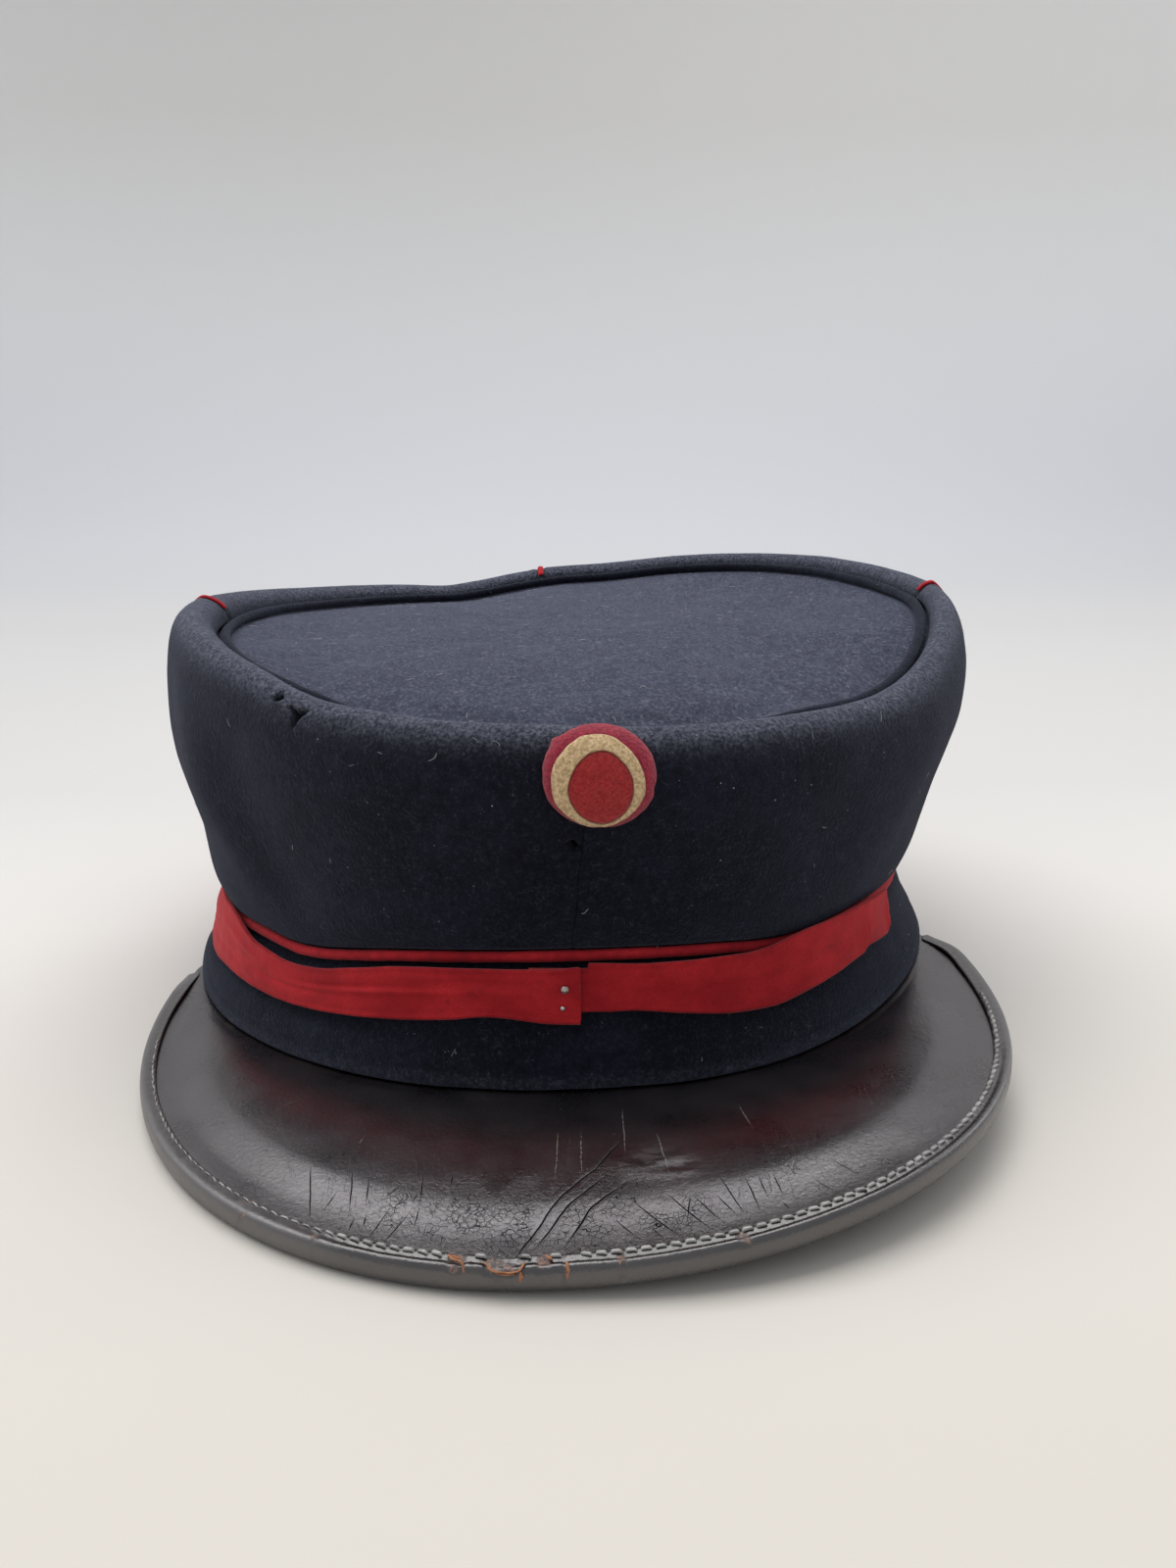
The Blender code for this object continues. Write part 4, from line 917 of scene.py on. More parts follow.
def make_peak():
    """The leather, with shallow waves, its long cracks cut in and a raised scuff."""
    azimuth = stations(440, [(1.0, 8.0, 3.2)], -PEAK_CORNER, PEAK_CORNER, False)
    inner, outer = peak_frame(azimuth)
    span = np.linalg.norm((inner - outer)[:, :2], axis=1)
    edge = 1.3 * np.ones(len(span))
    shares = np.concatenate([np.linspace(0, 0.55, 110), np.linspace(0.56, 1, 40)])
    upper = np.stack([peak_top(inner, outer, edge + (span - edge) * f) for f in shares])
    x, y = upper[..., 0], upper[..., 1]
    distance = edge + (span - edge) * shares[:, None]
    free = smoothstep(3.5, 9.0, distance) * (1 - smoothstep(-6.0, -3.0, distance - span))
    lift = (0.30 * rough(upper, 30.0, 2, 91) + 0.07 * rough(upper, 9.0, 3, 92)) * free
    for points in LONG_CRACKS.values():
        wander = 0.14 * noise(upper, 3.0, 93) + 0.05 * noise(upper, 1.1, 95)
        for k, ((x1, y1), (x2, y2)) in enumerate(zip(points, points[1:])):
            d, t = segment_distance(x + wander, y, x1, y1, x2, y2)
            lift += -0.06 * np.exp(-((d / 0.24) ** 2)) + 0.012 * np.exp(-(((d - 0.6) / 0.3) ** 2))
    for x1, y1, x2, y2 in SHORT_CRACKS:
        d, t = segment_distance(x + wander, y, x1, y1, x2, y2)
        lift -= 0.025 * np.exp(-((d / 0.28) ** 2)) * smoothstep(0.0, 0.2, t) * smoothstep(1.0, 0.8, t)
    fold, t = segment_distance(x, y + 1.2 * np.sin(x / 3.5), 4.5, -123.2, 17.5, -122.6)
    lift += 0.26 * np.exp(-((fold / 1.5) ** 2)) * smoothstep(0.0, 0.25, t) * smoothstep(1.0, 0.75, t)
    fold, t = segment_distance(x, y, 6.0, -125.6, 19.0, -125.4)
    lift += 0.13 * np.exp(-((fold / 1.0) ** 2)) * smoothstep(0.0, 0.3, t) * smoothstep(1.0, 0.7, t)
    upper[..., 2] += lift * np.clip(free + 0.2, 0, 1)
    down = np.array([0, 0, LEATHER])
    lower = np.stack([peak_top(inner, outer, edge + (span - edge) * f) - down for f in (1, 0.8, 0.6, 0.4, 0.2, 0)])
    grid = np.concatenate([upper, lower])
    flat_x, flat_y = grid[..., 0], grid[..., 1]
    wander = 0.14 * noise(grid, 3.0, 93) + 0.05 * noise(grid, 1.1, 95)
    fields = {
        "tint": round_spots(flat_x, flat_y, RED_TINT), "crackle": round_spots(flat_x, flat_y, CRACKLE),
        "fan": round_spots(flat_x, flat_y, FAN), "scuff": round_spots(flat_x, flat_y, SCUFF),
    }
    for kind, marks in (("crack", long_marks() + short_marks()), ("scratch", pale_marks())):
        for k, group in enumerate(marks_apart(marks, 2.8)):
            fields[f"{kind}_{k}"], fields[f"{kind}_{k}_half"] = mark_fields(flat_x + wander, flat_y, group)
    grid_piece("peak_leather", grid, True, False, LEATHER_FINISH, "peak", fields)
    return upper


def binding_range():
    """The part of the peak's edge that has room for the binding."""
    azimuth = np.linspace(-PEAK_CORNER, PEAK_CORNER, 41)
    inner, outer = peak_frame(azimuth)
    room = np.linalg.norm((inner - outer)[:, :2], axis=1) - PEAK_TUCK - 0.6
    has = azimuth[np.minimum(room, BINDING_FLAP) >= 0.9]
    return has[0], has[-1]


STITCH_STEP = 2.15
STITCH_LENGTH = 1.85


def make_binding():
    """Leather folded round the peak's edge: a sewn strip, a groove and a round roll."""
    low, high = binding_range()
    azimuth = stations(860, [(0.0, 14.0, 1.8)], low, high, False)
    inner, outer = peak_frame(azimuth)
    way = np.concatenate([[0.0], np.cumsum(np.linalg.norm(np.diff(outer, axis=0), axis=1))])
    full = 0.30 + 0.70 * smoothstep(0.0, 11.0, np.minimum(way, way[-1] - way))
    calm = smoothstep(-32.0, -46.0, outer[:, 0]) + smoothstep(70.0, 84.0, outer[:, 0])
    span = np.linalg.norm((inner - outer)[:, :2], axis=1)
    flap = np.minimum(BINDING_FLAP, span - PEAK_TUCK - 0.6)
    k = flap / BINDING_FLAP
    line = peak_top(inner, outer, 2.95 * k)
    run = np.concatenate([[0.0], np.cumsum(np.linalg.norm(np.diff(line, axis=0), axis=1))])
    phase = (run % STITCH_STEP) / STITCH_STEP
    pinch = np.exp(-(((phase - 0.87 + 0.5) % 1.0 - 0.5) / 0.10) ** 2)
    left_x = outer[:, 0]
    wave = 0.05 * noise(outer, 5.0, 101) + 0.03 * noise(outer, 1.5, 102)
    profile = [  # share of the flap inwards, height over the leather
        (1.00, 0.30), (1.00, 0.72), (0.97, 0.92), (0.88, 0.99), (0.78, 0.92), (0.68, 0.86), (0.60, 0.62),
        (0.53, 0.52), (0.46, 0.80), (0.38, 1.12), (0.28, 1.26), (0.18, 1.16), (0.09, 0.84), (0.03, 0.38),
        (0.00, -0.15), (0.00, -0.75), (0.00, -1.35), (0.03, -1.95), (0.10, -2.55), (0.20, -2.95), (0.34, -3.18),
        (0.50, -3.20), (1.00, -3.05), (1.00, -2.35), (0.28, -2.32), (0.28, 0.30),
    ]
    tear = np.zeros(len(azimuth))
    depth = np.zeros(len(azimuth))
    reach = np.zeros(len(azimuth))
    for x0, half, deep, down in TEARS:
        near = np.exp(-(np.abs((left_x - x0 + 0.5 * noise(outer, 1.1, 103)) / half) ** 4)) * (outer[:, 1] < -90)
        tear = np.maximum(tear, near)
        depth = np.maximum(depth, near * deep)
        reach = np.maximum(reach, near * down)
    rows = []
    for i, (share, height) in enumerate(profile):
        lift = wave * (height > -1)
        if 0.6 < share < 0.97 and height > 0.5:
            lift = lift - 0.16 * pinch
        if height > 0.3:
            ragged = 0.55 + 0.45 * noise(outer + [0, 0, i * 1.3], 0.7, 104)
            lift = lift - depth * ragged
        point = peak_top(inner, outer, share * flap)
        smooth = np.interp(share, [0.0, 0.15, 0.30, 0.90, 1.0], [0.30, 1.02, 1.12, 0.80, height]) if height > 0.45 and share > 0.15 else height
        point[:, 2] += (height + (smooth - height) * calm + lift) * (full if height > 0 else 1.0)
        if -2.0 < height < 0.9 and share < 0.1:
            ragged = np.clip(0.5 + 0.8 * noise(outer + [0, 0, i * 0.9], 0.8, 105), 0, 1)
            toward = (inner - outer) / span[:, None]
            point += toward * (0.45 * tear * (reach > 0.5) * ragged)[:, None]
        rows.append(point)
    loop = np.stack(rows + rows[:1])
    fine = soften(resample(loop, np.linspace(0, 1, 57))[:-1], 0.75, True)
    heights = fine[..., 2] - outer[:, 2]
    outside = smoothstep(-2.6, -0.2, heights)
    ragged = 0.5 + 0.9 * noise(fine, 1.0, 106) + 0.5 * noise(fine, 0.4, 107)
    strength = tear * np.where(heights > 0.3, 1.0, np.clip(reach, 0, 1) * outside)
    tear_rows = np.clip(strength * 1.5 * np.clip(ragged, 0, 1.2), 0, 1)
    grid_piece("binding_leather_roll", fine, True, False, BINDING_FINISH, "peak_binding", {"tear": tear_rows, "dull_and_sheen": np.broadcast_to(np.clip(calm, 0, 1), tear_rows.shape)})
    make_stitches(line, run, k)
    make_shreds(azimuth, inner, outer, flap)
    return fine


def make_shreds(azimuth, inner, outer, flap):
    """Thin torn strips of the binding's tan inside."""
    points, faces = [], []
    front = np.abs(azimuth) < 60.0
    order = np.argsort(outer[front, 0])
    x_front = outer[front, 0][order]
    for number, line in enumerate(SHREDS):
        knots = []
        for x, share, height in line:
            a, b = ([np.interp(x, x_front, end[front, c][order]) for c in range(3)] for end in (inner, outer))
            wide = np.interp(x, x_front, flap[front][order])
            place = peak_top(np.array([a]), np.array([b]), np.array([share * wide]))[0]
            knots.append(place + [0, 0, height])
        knots = np.array(knots)
        run = np.concatenate([[0.0], np.cumsum(np.linalg.norm(np.diff(knots, axis=0), axis=1))])
        at = np.linspace(0, run[-1], max(10, int(run[-1] / 0.14)))
        path = np.stack([np.interp(at, run, knots[:, c]) for c in range(3)], -1)
        path = soften(path[:, None, :], 2.0, False)[:, 0]
        path += 0.10 * np.stack([noise(path + k * 7.0, 0.8, 141 + number) for k in range(3)], -1)
        tangent = np.gradient(path, axis=0)
        tangent /= np.linalg.norm(tangent, axis=1, keepdims=True)
        side = np.cross(tangent, [0.0, 0.3, 1.0])
        side /= np.linalg.norm(side, axis=1, keepdims=True)
        up = np.cross(side, tangent)
        f = np.linspace(0, 1, len(path))
        size = 0.24 * np.sqrt(np.clip(1 - np.abs(2 * f - 1) ** 4, 0.03, 1)) * (1 + 0.45 * noise(path, 0.7, 151 + number))
        base = len(points)
        for j in range(8):
            turn = 2 * math.pi * j / 8
            points += list(path + (side * math.cos(turn) * 1.1 + up * math.sin(turn) * 0.55) * size[:, None])
        n = len(path)
        for j in range(8):
            k = (j + 1) % 8
            faces += [(base + j * n + i, base + k * n + i, base + k * n + i + 1, base + j * n + i + 1) for i in range(n - 1)]
        faces.append(tuple(base + j * n for j in reversed(range(8))))
        faces.append(tuple(base + j * n + n - 1 for j in range(8)))
    new_piece("binding_shreds", points, faces, TORN)


def make_stitches(line, run, k):
    """Waxed thread in short stitches along the sewn strip of the binding."""
    points, faces = [], []
    sides, rings = 8, 9
    rng = np.random.default_rng(7)
    tangent_all = np.gradient(line, axis=0)
    tangent_all /= np.linalg.norm(tangent_all, axis=1, keepdims=True)
    for number in range(int(run[-1] // STITCH_STEP)):
        start = number * STITCH_STEP + 0.12
        middle = start + STITCH_LENGTH / 2
        at = [np.interp(middle, run, line[:, c]) for c in range(3)]
        if at[1] > -66:
            continue
        if any(a < at[0] < b for a, b in LOST_STITCHES) and at[1] < -100:
            continue
        if rng.random() < 0.03:
            continue
        slant = rng.normal(0.0, 0.10) + 0.10
        sunk = smoothstep(-32.0, -44.0, at[0])
        thick = rng.uniform(0.32, 0.39) * (1 - 0.55 * sunk)
        ring_points = []
        for r in range(rings):
            f = r / (rings - 1)
            s = start + STITCH_LENGTH * f
            centre = np.array([np.interp(s, run, line[:, c]) for c in range(3)])
            t = np.array([np.interp(s, run, tangent_all[:, c]) for c in range(3)])
            side = np.cross(t, [0, 0, 1.0])
            side /= np.linalg.norm(side)
            up = np.cross(side, t)
            arch = 4 * f * (1 - f)
            centre = centre + side * slant * (f - 0.5) * 2 + up * (0.62 - 0.10 * sunk + 0.44 * min(1.0, arch * 1.6))
            size = thick * (0.35 + 0.65 * min(1.0, arch * 2.2))
            for q in range(sides):
                a = 2 * math.pi * q / sides
                ring_points.append(centre + side * size * 1.15 * math.cos(a) + up * size * 0.8 * math.sin(a))
        base = len(points)
        points += ring_points
        for r in range(rings - 1):
            for q in range(sides):
                a, b = base + r * sides + q, base + r * sides + (q + 1) % sides
                faces.append((a, b, b + sides, a + sides))
        faces.append(tuple(base + q for q in reversed(range(sides))))
        faces.append(tuple(base + (rings - 1) * sides + q for q in range(sides)))
    new_piece("binding_stitches", points, faces, THREAD)


def cockade_patch():
    """The crown's outer face under the cockade, over a square of cloth."""
    u = np.linspace(-12.5, 12.5, 51)
    v = np.linspace(-12.0, 12.0, 49)
    steps = np.concatenate([np.linspace(0.0, 1.0, 61), np.linspace(1.02, 2.0, 50)])
    points = np.empty((len(u), len(v), 3))
    for i, value in enumerate(u):
        line = crown_outer(COCKADE_AZIMUTH + math.degrees(value / 88.0), steps)
        line = soften(line[:, None, :], 2.0, False)[:, 0]
        length = np.concatenate([[0.0], np.cumsum(np.linalg.norm(np.diff(line, axis=0), axis=1))])
        for c in range(3):
            points[i, :, c] = np.interp(length[60] - COCKADE_DROP + v, length, line[:, c])
    normals = np.cross(np.gradient(points, axis=0), np.gradient(points, axis=1))
    normals /= np.linalg.norm(normals, axis=-1, keepdims=True)

    def bilinear(field, a, b):
        fa = np.clip((a - u[0]) / (u[1] - u[0]), 0, len(u) - 1.001)
        fb = np.clip((b - v[0]) / (v[1] - v[0]), 0, len(v) - 1.001)
        i, j = fa.astype(int), fb.astype(int)
        fa, fb = (fa - i)[..., None], (fb - j)[..., None]
        return (
            field[i, j] * (1 - fa) * (1 - fb) + field[i + 1, j] * fa * (1 - fb)
            + field[i, j + 1] * (1 - fa) * fb + field[i + 1, j + 1] * fa * fb
        )

    def on_wall(a, b, over):
        n = bilinear(normals, a, b)
        n = n / np.linalg.norm(n, axis=-1, keepdims=True)
        return bilinear(points, a, b) + n * np.asarray(over)[..., None], n

    return on_wall


def make_cockade():
    """Felt discs laid on each other: a crimson base that bulges, a tan ring and a red middle."""
    on_wall = cockade_patch()
    body = COCKADE["cockade_base"]

    def height(u, v):
        r2 = np.minimum(1.0, (u / body[0]) ** 2 + (v / body[1]) ** 2)
        return body[8] + body[9] + (body[10] - body[9]) * np.sqrt(1.0 - r2 * 0.98)

    columns = 132
    angle = 2 * math.pi * np.arange(columns) / columns
    tops = {}
    for name, (hw, hh, cu, cv, iw, ih, iu, iv, lift, edge, middle) in COCKADE.items():
        hollow = iw > 0
        seed = {"cockade_base": 111, "cockade_ring": 121, "cockade_centre": 131}[name]
        circle = np.stack([np.cos(angle), np.sin(angle), np.zeros(columns)], -1) * 6.0
        ragged = 1 + 0.020 * noise(circle, 3.2, seed) + 0.012 * noise(circle, 1.0, seed + 1)
        if name == "cockade_base":  # a tuft at the upper left and a notch at the right
            ragged += 0.05 * np.exp(-((((angle - math.radians(140) + math.pi) % (2 * math.pi) - math.pi) / 0.10) ** 2))
            ragged -= 0.04 * np.exp(-((((angle - math.radians(-12) + math.pi) % (2 * math.pi) - math.pi) / 0.12) ** 2))
        ou, ov = cu + hw * np.cos(angle) * ragged, cv + hh * np.sin(angle) * ragged
        inner_ragged = 1 + 0.020 * noise(circle, 3.2, 131) + 0.012 * noise(circle, 1.0, 132)
        nu = iu + iw * np.cos(angle) * inner_ragged if hollow else np.full(columns, cu)
        nv = iv + ih * np.sin(angle) * inner_ragged if hollow else np.full(columns, cv)
        shares = np.linspace(0.0 if hollow else 0.03, 1.0, 26)
        u = nu + (ou - nu) * shares[:, None]
        v = nv + (ov - nv) * shares[:, None]
        t = np.broadcast_to(shares[:, None], u.shape)
        if name == "cockade_base":
            foot = np.full(u.shape, lift)
            r = t**2
            head = body[8] + 0.25 + (height(u, v) - body[8] - 0.25) * np.sqrt(np.clip(1 - r**7, 0, 1))
        else:
            foot = height(u, v) + GAP * 0.6
            thick = edge + (middle - edge) * (1 - t**2)
            round_out = np.sqrt(np.clip(1 - t ** (14 if hollow else 34), 0.04, 1))
            round_in = np.sqrt(np.clip(1 - (1 - t) ** 60, 0.04, 1)) if hollow else 1.0
            head = foot + thick * round_out * round_in
        place = np.stack([u, v, np.zeros_like(u)], -1)
        fuzz = 0.10 * rough(place, 1.3, 3, seed + 3) + 0.05 * noise(place, 0.35, seed + 4)
        head = head + fuzz * np.clip((head - foot) / 0.4, 0, 1)
        upper, normals = on_wall(u, v, head)
        lower, _ = on_wall(u[::-5], v[::-5], foot[::-5])
        finish = {"cockade_base": CRIMSON_FELT, "cockade_ring": TAN_FELT, "cockade_centre": RED_FELT}[name]
        grid = np.concatenate([upper, lower])
        tops[name] = (upper, normals)
        if hollow:
            grid_piece(name + "_felt", grid, True, True, finish, name)
            continue
        rows = grid.shape[0]
        faces = [tuple(f) for f in quads(rows, columns, False, True)]
        points = np.concatenate([grid.reshape(-1, 3), upper[0].mean(0)[None], lower[-1].mean(0)[None]])
        for j in range(columns):
            q = (j + 1) % columns
            faces.append((rows * columns, q, j))
            faces.append((rows * columns + 1, (rows - 1) * columns + j, (rows - 1) * columns + q))
        new_piece(name + "_felt", points, faces, finish, name)
    return tops


def make_tacks():
    for name, x in TACK_X.items():
        z = TACK_Z[name]
        front = -RIBBON_LOW[2] * math.sqrt(1 - (x / RIBBON_LOW[0]) ** 2) - 0.10
        small = 0.72 if name == "tack_upper" else 0.46
        turn = 2 * math.pi * np.arange(28) / 28
        profile = [(0.96, 0.0), (1.0, 0.12), (0.97, 0.26), (0.86, 0.42), (0.68, 0.54), (0.45, 0.62), (0.2, 0.66), (0.03, 0.665)]
        rows = [
            np.stack([x + small * r * np.cos(turn), np.full(28, front - h * 0.8), z + small * r * np.sin(turn)], -1)
            for r, h in profile
        ]
        grid = np.stack(rows)
        grid[..., 1] += 0.03 * noise(grid, 0.5, 141)
        faces = [tuple(f) for f in quads(len(profile), 28, False, True)]
        points = np.concatenate([grid.reshape(-1, 3), grid[0].mean(0)[None], grid[-1].mean(0)[None]])
        count = len(profile) * 28
        for j in range(28):
            q = (j + 1) % 28
            faces.append((count, q, j))
            faces.append((count + 1, count - 28 + j, count - 28 + q))
        new_piece(name + "_head", points, faces, STEEL, name)


# ---------------------------------------------------------------- fibres and lint
def scatter(grid, normals, count, rng, weight=None):
    """Random points and normals on a grid of points that is closed along its columns."""
    rows, columns = grid.shape[:2]
    edge_u = np.linalg.norm(np.roll(grid, -1, 1)[:-1] - grid[:-1], axis=-1)
    edge_v = np.linalg.norm(np.diff(grid, axis=0), axis=-1)
    area = (edge_u * edge_v) * (1.0 if weight is None else weight[:-1])
    pick = rng.choice(area.size, count, p=(area / area.sum()).ravel())
    i, j = pick // columns, pick % columns
    fu, fv = rng.random((count, 1)), rng.random((count, 1))
    a, b = grid[i, j], grid[i, (j + 1) % columns]
    c, d = grid[i + 1, j], grid[i + 1, (j + 1) % columns]
    p = (a * (1 - fu) + b * fu) * (1 - fv) + (c * (1 - fu) + d * fu) * fv
    return p, normals[i, j]


def make_fibres(name, points, normals, short, long, wide, lean, rng, finish):
    """Short fibres that stand out of cloth or felt, each a thin closed spike."""
    count = len(points)
    random = rng.normal(size=(count, 3))
    tangent = random - (random * normals).sum(1, keepdims=True) * normals
    tangent /= np.linalg.norm(tangent, axis=1, keepdims=True)
    other = np.cross(normals, tangent)
    way = normals * rng.uniform(0.35, 1.0, (count, 1)) + tangent * lean * rng.uniform(0.3, 1.0, (count, 1))
    way /= np.linalg.norm(way, axis=1, keepdims=True)
    length = rng.uniform(short, long, (count, 1)) * rng.uniform(0.6, 1.0, (count, 1))
    base = points - normals * 0.06
    corners = [base + (tangent * math.cos(a) + other * math.sin(a)) * wide for a in (0.0, 2.094, 4.189)]
    tip = base + way * length
    body = np.stack(corners + [tip], 1).reshape(-1, 3)
    start = 4 * np.arange(count)[:, None]
    faces = np.concatenate([start + f for f in ([0, 1, 3], [1, 2, 3], [2, 0, 3], [0, 2, 1])])
    return new_piece(name, body, [tuple(f) for f in faces], finish, smooth=False)


def make_lint(name, places, rng, finish):
    """Pale curled threads and specks that lie on the cloth: point, normal, size."""
    points, faces = [], []
    for p, n, size in places:
        t = rng.normal(size=3)
        t -= t.dot(n) * n
        t /= np.linalg.norm(t)
        s = np.cross(n, t)
        if size > 0.6:  # a thread
            bend, segments = rng.normal(0.0, 0.6), 7
            radius = rng.uniform(0.026, 0.048)
            base = len(points)
            heading, at = 0.0, p + n * 0.05
            for k in range(segments + 1):
                heading += bend / segments + rng.normal(0, 0.18)
                way = t * math.cos(heading) + s * math.sin(heading)
                aside = np.cross(n, way)
                high = 0.05 + 0.12 * math.sin(math.pi * k / segments) * rng.random()
                for a in (0.0, 2.094, 4.189):
                    points.append(at + n * high + (aside * math.cos(a) + n * math.sin(a)) * radius)
                at = at + way * size / segments
            for k in range(segments):
                for q in range(3):
                    a, b = base + 3 * k + q, base + 3 * k + (q + 1) % 3
                    faces.append((a, b, b + 3, a + 3))
            faces.append((base, base + 2, base + 1))
            faces.append((base + 3 * segments, base + 3 * segments + 1, base + 3 * segments + 2))
        else:  # a speck
            base = len(points)
            r = size / 2 * rng.uniform(0.7, 1.0, 6)
            centre = p + n * size * 0.25
            for k, way in enumerate((t, s, -t, -s, n * 0.6, -n * 0.6)):
                points.append(centre + way * r[k])
            for q in range(4):
                faces.append((base + q, base + (q + 1) % 4, base + 4))
                faces.append((base + (q + 1) % 4, base + q, base + 5))
    new_piece(name, points, faces, finish, smooth=False)


class Finish:
    """A node material, written from its last node back."""

    def __init__(self, name):
        self.material = bpy.data.materials.new(name + "_look")
        self.material.use_nodes = True
        self.tree = self.material.node_tree
        self.shader = self.tree.nodes["Principled BSDF"]
        self.where = self.tree.nodes.new("ShaderNodeTexCoord").outputs["Object"]

    def put(self, value, socket):
        if isinstance(value, bpy.types.NodeSocket):
            self.tree.links.new(value, socket)
        elif isinstance(value, (tuple, list)) and len(value) == 3 and socket.type == "RGBA":
            socket.default_value = (*value, 1.0)
        else:
            socket.default_value = value

    def set(self, **values):
        for key, value in values.items():
            self.put(value, self.shader.inputs[key.replace("_", " ")])

    def math(self, kind, a, b=0.0, c=0.0, clamp=False):
        node = self.tree.nodes.new("ShaderNodeMath")
        node.operation, node.use_clamp = kind, clamp
        for socket, value in zip(node.inputs, (a, b, c)):
            self.put(value, socket)
        return node.outputs[0]

    def vector(self, kind, a, b=None, scale=None):
        node = self.tree.nodes.new("ShaderNodeVectorMath")
        node.operation = kind
        self.put(a, node.inputs[0])
        if b is not None:
            self.put(b, node.inputs[1])
        if scale is not None:
            self.put(scale, node.inputs["Scale"])
        return node.outputs["Value" if kind in ("DOT_PRODUCT", "DISTANCE", "LENGTH") else "Vector"]

    def noise(self, size, detail=3.0, roughness=0.5, distortion=0.0, where=None):
        """Noise from 0 to 1 with features of a size in mm."""
        node = self.tree.nodes.new("ShaderNodeTexNoise")
        self.put(where or self.where, node.inputs["Vector"])
        node.inputs["Scale"].default_value = 1000.0 / size
        node.inputs["Detail"].default_value = detail
        node.inputs["Roughness"].default_value = roughness
        node.inputs["Distortion"].default_value = distortion
        return node.outputs[0]

    def cells(self, size, feature="F1", where=None, out=None, randomness=1.0):
        node = self.tree.nodes.new("ShaderNodeTexVoronoi")
        node.feature = feature
        self.put(where or self.where, node.inputs["Vector"])
        node.inputs["Scale"].default_value = 1000.0 / size
        node.inputs["Randomness"].default_value = randomness
        return node.outputs[out or "Distance"]

    def between(self, value, low, high, to_low=0.0, to_high=1.0, smooth=True):
        node = self.tree.nodes.new("ShaderNodeMapRange")
        node.interpolation_type = "SMOOTHSTEP" if smooth else "LINEAR"
        node.clamp = True
        self.put(value, node.inputs["Value"])
        for key, number in (("From Min", low), ("From Max", high), ("To Min", to_low), ("To Max", to_high)):
            self.put(number, node.inputs[key])
        return node.outputs["Result"]

    def blend(self, share, a, b, kind="MIX"):
        node = self.tree.nodes.new("ShaderNodeMix")
        node.data_type, node.blend_type = "RGBA", kind
        self.put(share, node.inputs[0])
        self.put(a, node.inputs[6])
        self.put(b, node.inputs[7])
        return node.outputs[2]

    def attribute(self, name):
        node = self.tree.nodes.new("ShaderNodeAttribute")
        node.attribute_name = name
        return node.outputs["Fac"]

    def axis(self, k, where=None):
        node = self.tree.nodes.new("ShaderNodeSeparateXYZ")
        self.put(where or self.where, node.inputs[0])
        return node.outputs[k]

    def bump(self, height, deep, strength=1.0, normal=None):
        """Relief: height from 0 to 1 stands for a depth in mm."""
        node = self.tree.nodes.new("ShaderNodeBump")
        node.inputs["Strength"].default_value = strength
        node.inputs["Distance"].default_value = deep * MM
        self.put(height, node.inputs["Height"])
        if normal is not None:
            self.put(normal, node.inputs["Normal"])
        return node.outputs["Normal"]

    def squeezed(self, scale, turn=0.0):
        """Object coordinates turned about Z and scaled along each axis."""
        node = self.tree.nodes.new("ShaderNodeMapping")
        self.put(self.where, node.inputs["Vector"])
        node.inputs["Rotation"].default_value = (0.0, 0.0, math.radians(turn))
        node.inputs["Scale"].default_value = scale
        return node.outputs[0]

    def mark(self, name):
        """1 along the marks of a group and 0 away from them."""
        away = self.math("ABSOLUTE", self.attribute(name))
        half = self.math("ADD", self.attribute(name + "_half"), 0.0002)
        return self.math("SUBTRACT", 1.0, self.math("DIVIDE", away, half), clamp=True)

    def wander(self, size):
        """Coloured noise, to push coordinates about."""
        node = self.tree.nodes.new("ShaderNodeTexNoise")
        self.put(self.where, node.inputs["Vector"])
        node.inputs["Scale"].default_value = 1000.0 / size
        node.inputs["Detail"].default_value = 2.0
        return node.outputs["Color"]


